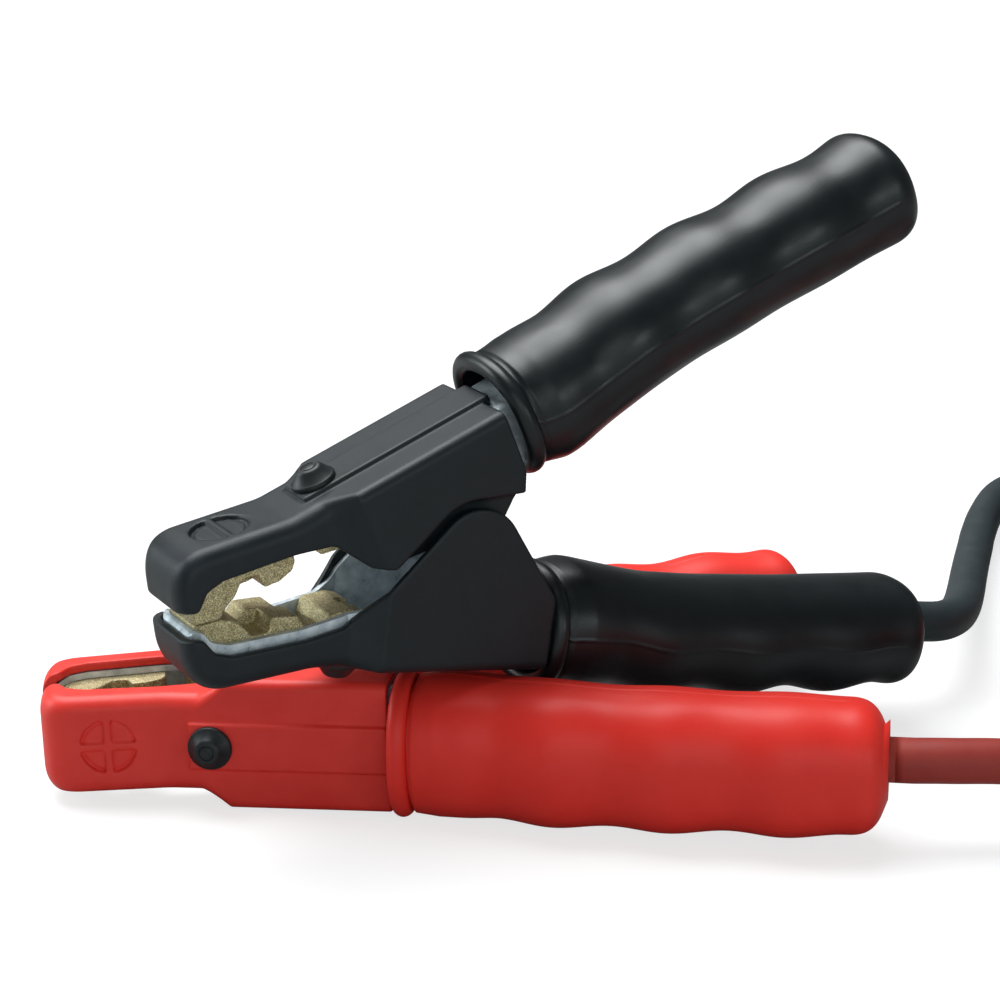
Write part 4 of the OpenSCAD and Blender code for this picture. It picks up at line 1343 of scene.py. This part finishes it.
RED_ROUTE = LeadRoute(
    clamp=RED,
    free=(
        (86.5, -45.3, 17.3), (99.5, -43.9, 16.4), (115.5, -42.2, 13), (133.5, -40.4, 9.2),
        (153.5, -39, 6.6),
    ),
    coil_at=(175.5, 17.5),
    coil_from=-90.0,
    coil_way=1,
    tail=(
        (231.5, 25.5, 15.4), (232.7, 37, 14.8), (236.8, 49, 13.2), (244.5, 59.5, 11), (255.5, 66.5, 9.1),
        (268.5, 69.3, 8.2),
    ),
    pole=(286.5, 69.5, 8),
    pieces=("red_tie",),
)
BLACK_ROUTE = LeadRoute(
    clamp=BLACK,
    free=(
        (94.9, 35.2, 17.2), (98.5, 39.6, 16.2), (101.8, 46.8, 15), (104.9, 58, 13.4), (108, 72, 11.8),
        (111.5, 89, 10), (114.9, 105, 8.6), (118.1, 119.5, 7.4), (121.1, 133, 6.5), (126.3, 152.5, 5.6),
        (133.1, 171, 5.2), (142.5, 182.2, 5.3), (153.9, 188.4, 5.7),
    ),
    coil_at=(193.5, 143.5),
    coil_from=115.0,
    coil_way=-1,
    tail=(
        (246.8, 159.5, 15.4), (249.1, 145.5, 15.4), (249.5, 129.5, 15.4), (252.3, 114.5, 14.2),
        (258.3, 101.5, 12), (266.9, 91.7, 9.7), (276.5, 86.7, 8.3),
    ),
    pole=(286.5, 85.5, 8),
    pieces=("black_tie", "connector_housing", "black_contact", "red_contact"),
)


@dataclass(frozen=True)
class Lead:
    """Draws one lead from its grip, through its coil, to the connector."""

    form: LeadForm
    route: LeadRoute

    UP = np.array([0.0, 0.0, 1.0])

    def coil(self) -> np.ndarray:
        """The coil: a spiral in on the low layer, half a turn that climbs, and a spiral out above it.

        Returns:
            The points of its middle line, in millimetres.
        """
        form, route = self.form, self.route
        sweep = 360 * form.turns
        s = np.linspace(0, 2 * sweep + 180, form.COIL_STEPS)
        t = np.clip((s - sweep) / 180, 0, 1)
        inner = form.coil_r - form.pitch * form.turns
        r_in, r_out = form.coil_r - form.pitch * s / 360, inner + form.pitch * (s - sweep - 180) / 360
        r = np.select([t <= 0, t >= 1], [r_in, r_out], inner - form.pitch * t * (1 - t) / 2)
        z = form.low_z + form.pitch * t * t * (3 - 2 * t)
        a = np.radians(route.coil_from + route.coil_way * s)
        return np.stack([route.coil_at[0] + r * np.cos(a), route.coil_at[1] + r * np.sin(a), z], axis=-1)

    def path(self) -> np.ndarray:
        """The middle line of the whole free lead, which leaves its grip and its coil straight on.

        Returns:
            Its points, in metres.
        """
        form, coil = self.form, self.coil()
        start, leaves = self.route.clamp.lead_line()
        ahead = form.straight * unit(leaves - start)
        into, out = form.straight * unit(coil[1] - coil[0]), form.straight * unit(coil[-1] - coil[-2])
        free = smooth_run(np.vstack([leaves + ahead, self.route.free, coil[0] - into]), form.STEPS)
        x, y, z = self.route.pole
        ends = np.array([(x, y, z), (x + form.into_pole, y, z)])
        tail = smooth_run(np.vstack([coil[-1] + out, self.route.tail, ends]), form.STEPS)
        return np.vstack([leaves, leaves + ahead / 2, free, coil, tail]) * MM

    def tube(self, name: str, path: np.ndarray) -> bpy.types.Object:
        """A stretch of the lead along a path in metres."""
        return MeshMaker.tube(name, path, self.form.diameter / 2 * MM, self.form.AROUND, self.UP)

    def inner(self) -> bpy.types.Object:
        """The stretch of the lead inside its grip.

        Returns:
            The object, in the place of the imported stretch.
        """
        clamp = self.route.clamp
        path = np.linspace(*clamp.lead_line(), self.form.INNER_STEPS) * MM
        obj = self.tube(f"{clamp.colour}_inner_fine", path)
        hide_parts(f"{clamp.colour}_lead_inner")
        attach(obj, "leads")
        return obj

    def build(self) -> bpy.types.Object:
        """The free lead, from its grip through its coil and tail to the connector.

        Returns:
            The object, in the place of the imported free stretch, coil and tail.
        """
        colour, path = self.route.clamp.colour, self.path()
        obj = self.tube(f"{colour}_lead", path)
        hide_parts(f"{colour}_lead_free", f"{colour}_coil", f"{colour}_tail")
        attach(obj, "leads")
        return obj


# ---------------------------------------------------------------- stage


@dataclass(frozen=True)
class CameraSpot:
    """The camera: its place in millimetres, its look down and its angle of view in degrees."""

    at: Triple = (1.3, -534.3, 214.34)
    down: float = 16.6
    view: float = 20.33


@dataclass(frozen=True)
class Lamp:
    """A soft box: its place and the point it faces in metres, its size, and its power in watts."""

    name: str
    at: Triple
    size: tuple[float, float]
    power: float
    aim: Triple = (0.0, 0.0, 0.05)


@dataclass(frozen=True)
class FloorForm:
    """The floor, in metres: level from front to back, and then a quarter round up into a wall."""

    half: float = 4.0
    front: float = -3.0
    back: float = 2.0
    bend: float = 1.2
    rise: float = 2.2
    rows: int = 40
    columns: int = 3


class Studio:
    """Sets the camera, the floor and the lamps."""

    LAMPS = (
        Lamp("top", (-0.15, 0.15, 1.0), (0.7, 0.8), 4.6),
        Lamp("left", (-0.9, 0.2, 0.35), (0.4, 0.4), 3.4),
        Lamp("front", (1.0, -1.0, 0.28), (0.3, 0.3), 1.6),
        Lamp("fill", (0.1, -1.5, 0.45), (1.4, 0.8), 4.4),
    )
    LAMP_TINT = (0.9, 1.0, 1.02)
    SKY_TURN = (math.radians(-22), math.radians(-16), 0.0)
    SKY_ANGLE = math.radians(48)
    SKY_POWER = 2.9
    SKY_SHINE = 0.75
    ROOM_TONE, ROOM_LIGHT = "#f4f6f8", 0.16
    FLOOR_TONE, FLOOR_ROUGH, FLOOR_GLOW = "#9a9a9a", 0.7, 0.72
    WHITE = (1.0, 1.0, 1.0, 1.0)
    NEAR = 0.01

    def build(self, spot: CameraSpot) -> None:
        """Puts everything in its place.

        Args:
            spot: where the camera is.
        """
        self.camera(spot)
        self.floor(FloorForm())
        for lamp in self.LAMPS:
            self.lamp(lamp)
        sky = bpy.data.lights.new("sky", "SUN")
        sky.energy, sky.specular_factor, sky.angle = self.SKY_POWER, self.SKY_SHINE, self.SKY_ANGLE
        obj = bpy.data.objects.new("sky", sky)
        obj.rotation_euler = self.SKY_TURN
        bpy.context.scene.collection.objects.link(obj)
        world = bpy.data.worlds.new("studio")
        bpy.context.scene.world = world
        world.use_nodes = True
        back = world.node_tree.nodes["Background"]
        back.inputs["Color"].default_value = linear(self.ROOM_TONE)
        back.inputs["Strength"].default_value = self.ROOM_LIGHT
        bpy.context.scene.view_settings.view_transform = "Standard"

    def camera(self, spot: CameraSpot) -> None:
        """The camera, which looks along Y and down.

        Args:
            spot: where it is.
        """
        data = bpy.data.cameras.new("camera")
        data.sensor_fit = "HORIZONTAL"
        data.angle = math.radians(spot.view)
        data.clip_start = self.NEAR
        camera = bpy.data.objects.new("camera", data)
        camera.location = [v * MM for v in spot.at]
        camera.rotation_euler = (math.radians(90 - spot.down), 0, 0)
        bpy.context.scene.collection.objects.link(camera)
        bpy.context.scene.camera = camera

    def floor(self, form: FloorForm) -> None:
        """A plain pale floor that curves up into a wall.

        Args:
            form: its sizes.
        """
        x = np.linspace(-form.half, form.half, form.columns)
        run = np.linspace(0, 1, form.rows)[:, None]
        turn = (run - 0.5) * math.pi
        level = form.front + 2 * (form.back - form.front) * run
        y = np.where(run < 0.5, level, form.back + form.bend * np.sin(turn))
        z = np.where(run < 0.5, 0, form.bend * (1 - np.cos(turn)) * form.rise)
        points = np.stack(np.broadcast_arrays(x, y, z), axis=-1).reshape(-1, 3)
        wide = form.columns
        k, i = np.meshgrid(np.arange(form.rows - 1), np.arange(wide - 1), indexing="ij")
        first = k * wide + i
        quads = np.stack([first, first + 1, first + wide + 1, first + wide], axis=-1).reshape(-1, 4)
        floor = MeshMaker.skin("floor", points, quads.tolist())
        material = bpy.data.materials.new("floor")
        material.use_nodes = True
        shader = material.node_tree.nodes["Principled BSDF"]
        shader.inputs["Base Color"].default_value = linear(self.FLOOR_TONE)
        shader.inputs["Roughness"].default_value = self.FLOOR_ROUGH
        self.whiten(material.node_tree, shader)
        floor.data.materials.append(material)
        floor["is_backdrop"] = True

    def whiten(self, tree: bpy.types.NodeTree, shader: bpy.types.Node) -> None:
        """Lets the floor be seen as a lit white sheet that takes only faint shadows.

        Args:
            tree: the floor's node tree.
            shader: its shader.
        """
        seen = add_node(tree, "ShaderNodeLightPath", {}).outputs["Is Camera Ray"]
        glow = add_node(tree, "ShaderNodeMath", {0: seen, 1: self.FLOOR_GLOW}, operation="MULTIPLY")
        tree.links.new(glow.outputs[0], shader.inputs["Emission Strength"])
        shader.inputs["Emission Color"].default_value = self.WHITE

    def lamp(self, lamp: Lamp) -> None:
        """One soft box, turned down from the upright and then round to face its point.

        Args:
            lamp: the soft box.
        """
        data = bpy.data.lights.new(lamp.name, "AREA")
        data.shape = "RECTANGLE"
        data.size, data.size_y = lamp.size
        data.energy, data.color = lamp.power, self.LAMP_TINT
        obj = bpy.data.objects.new(lamp.name, data)
        ahead = unit(np.array(lamp.aim) - np.array(lamp.at))
        obj.location = lamp.at
        obj.rotation_euler = (math.acos(-ahead[2]), 0, math.atan2(ahead[1], ahead[0]) - math.pi / 2)
        bpy.context.scene.collection.objects.link(obj)


# ---------------------------------------------------------------- the whole


@dataclass
class ClampLeads:
    """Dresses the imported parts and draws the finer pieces."""

    frame: dict
    materials: MaterialMaker = field(default_factory=MaterialMaker)

    MOULDED = ("jaw", "heel")
    VOXEL = 0.25 * MM
    EASE_PASSES = 2
    RIVET_AT = (-20.5, 0.0, 24.2)
    RIVET_AROUND = 72
    RIVET = (
        (0.05, -0.6), (4.3, -0.6), (4.38, 0.0), (4.4, 0.3), (4.38, 0.62), (4.28, 0.84), (4.08, 0.98),
        (3.9, 1.06), (2.62, 2.72), (2.44, 2.94), (2.2, 3.1), (1.95, 3.18), (1.62, 3.2), (1.56, 3.16),
        (1.5, 2.98), (1.42, 2.96), (1.34, 3.0), (1.3, 3.12), (1.2, 3.18), (0.05, 3.2),
    )

    def finish(self, obj: bpy.types.Object, name: str) -> None:
        """Gives an object the finish of a slot, and logs the slot and the object's faces.

        Args:
            obj: the object.
            name: the slot.
        """
        obj.data.materials.clear()
        obj.data.materials.append(self.materials.get(FINISHES[name]))
        LOG.info("%s: %s, %d faces", obj.name, name, len(obj.data.polygons))

    def rivet(self, clamp: Placement, side: Side) -> bpy.types.Object:
        """The domed head of a rivet, with its flange and the ring on its top.

        Args:
            clamp: the clamp that it is on.
            side: the lever that it is on.

        Returns:
            The object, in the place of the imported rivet.
        """
        name = f"{clamp.colour}_{side.value}_rivet"
        matrix = clamp.side_matrix(side) @ move_matrix(*self.RIVET_AT)
        obj = MeshMaker.lathe(f"{name}_fine", matrix, self.RIVET, self.RIVET_AROUND)
        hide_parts(name)
        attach(obj, clamp.body(side))
        return obj

    def brass(self, clamp: Placement, side: Side, piece: str) -> bpy.types.Object:
        """A jaw or a heel with the softened edges of a casting.

        Args:
            clamp: the clamp that it is on.
            side: the lever that it is on.
            piece: which of the two it is.

        Returns:
            The object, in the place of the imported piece.
        """
        name = f"{clamp.colour}_{side.value}_{piece}"
        tilt = LEVER.angle if side is Side.LEAD else -LEVER.angle
        turn = turn_matrix(clamp.turn) @ turn_matrix((0, tilt, 0))
        source = self.frame["nodes"][name]
        obj = MeshMaker.moulded(f"{name}_fine", source, self.VOXEL, self.EASE_PASSES, turn)
        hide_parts(name)
        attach(obj, clamp.body(side))
        return obj

    def build(self) -> None:
        """Draws and dresses every piece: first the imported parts, then the clamps, then the leads."""
        slots = {row["node"]: row["material_slot"] for row in self.frame["record"]["subparts"]}
        for node, obj in self.frame["nodes"].items():
            self.finish(obj, slots[node])
        for clamp in CLAMPS:
            for side in Side:
                prefix = f"{clamp.colour}_{side.value}"
                self.finish(Grip(GRIPS[side], clamp, side).build(), slots[f"{prefix}_grip"])
                self.finish(Cover(CoverForm(), clamp, side).build(), slots[f"{prefix}_cover"])
                self.finish(self.rivet(clamp, side), slots[f"{prefix}_rivet"])
                for piece in self.MOULDED:
                    self.finish(self.brass(clamp, side, piece), slots[f"{prefix}_{piece}"])
            self.finish(Spring(SpringForm(), clamp).build(), slots[f"{clamp.colour}_spring"])
        for route in (BLACK_ROUTE, RED_ROUTE):
            lead, slot = Lead(LeadForm(), route), slots[f"{route.clamp.colour}_coil"]
            self.finish(lead.inner(), slot)
            self.finish(lead.build(), slot)


def box() -> list[list[float]]:
    """The lowest and the highest corner of all that shows."""
    return [list(corner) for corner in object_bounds()]


def main() -> dict[str, list[list[float]]]:
    """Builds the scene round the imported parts.

    Returns:
        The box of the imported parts.
    """
    logging.basicConfig(level=logging.INFO, format="%(message)s")
    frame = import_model()
    sizes = {"cad": box()}
    Studio().build(CameraSpot())
    ClampLeads(frame).build()
    return sizes


if __name__ == "__main__":
    SIZES = main()
    SIZES["visual"] = box()
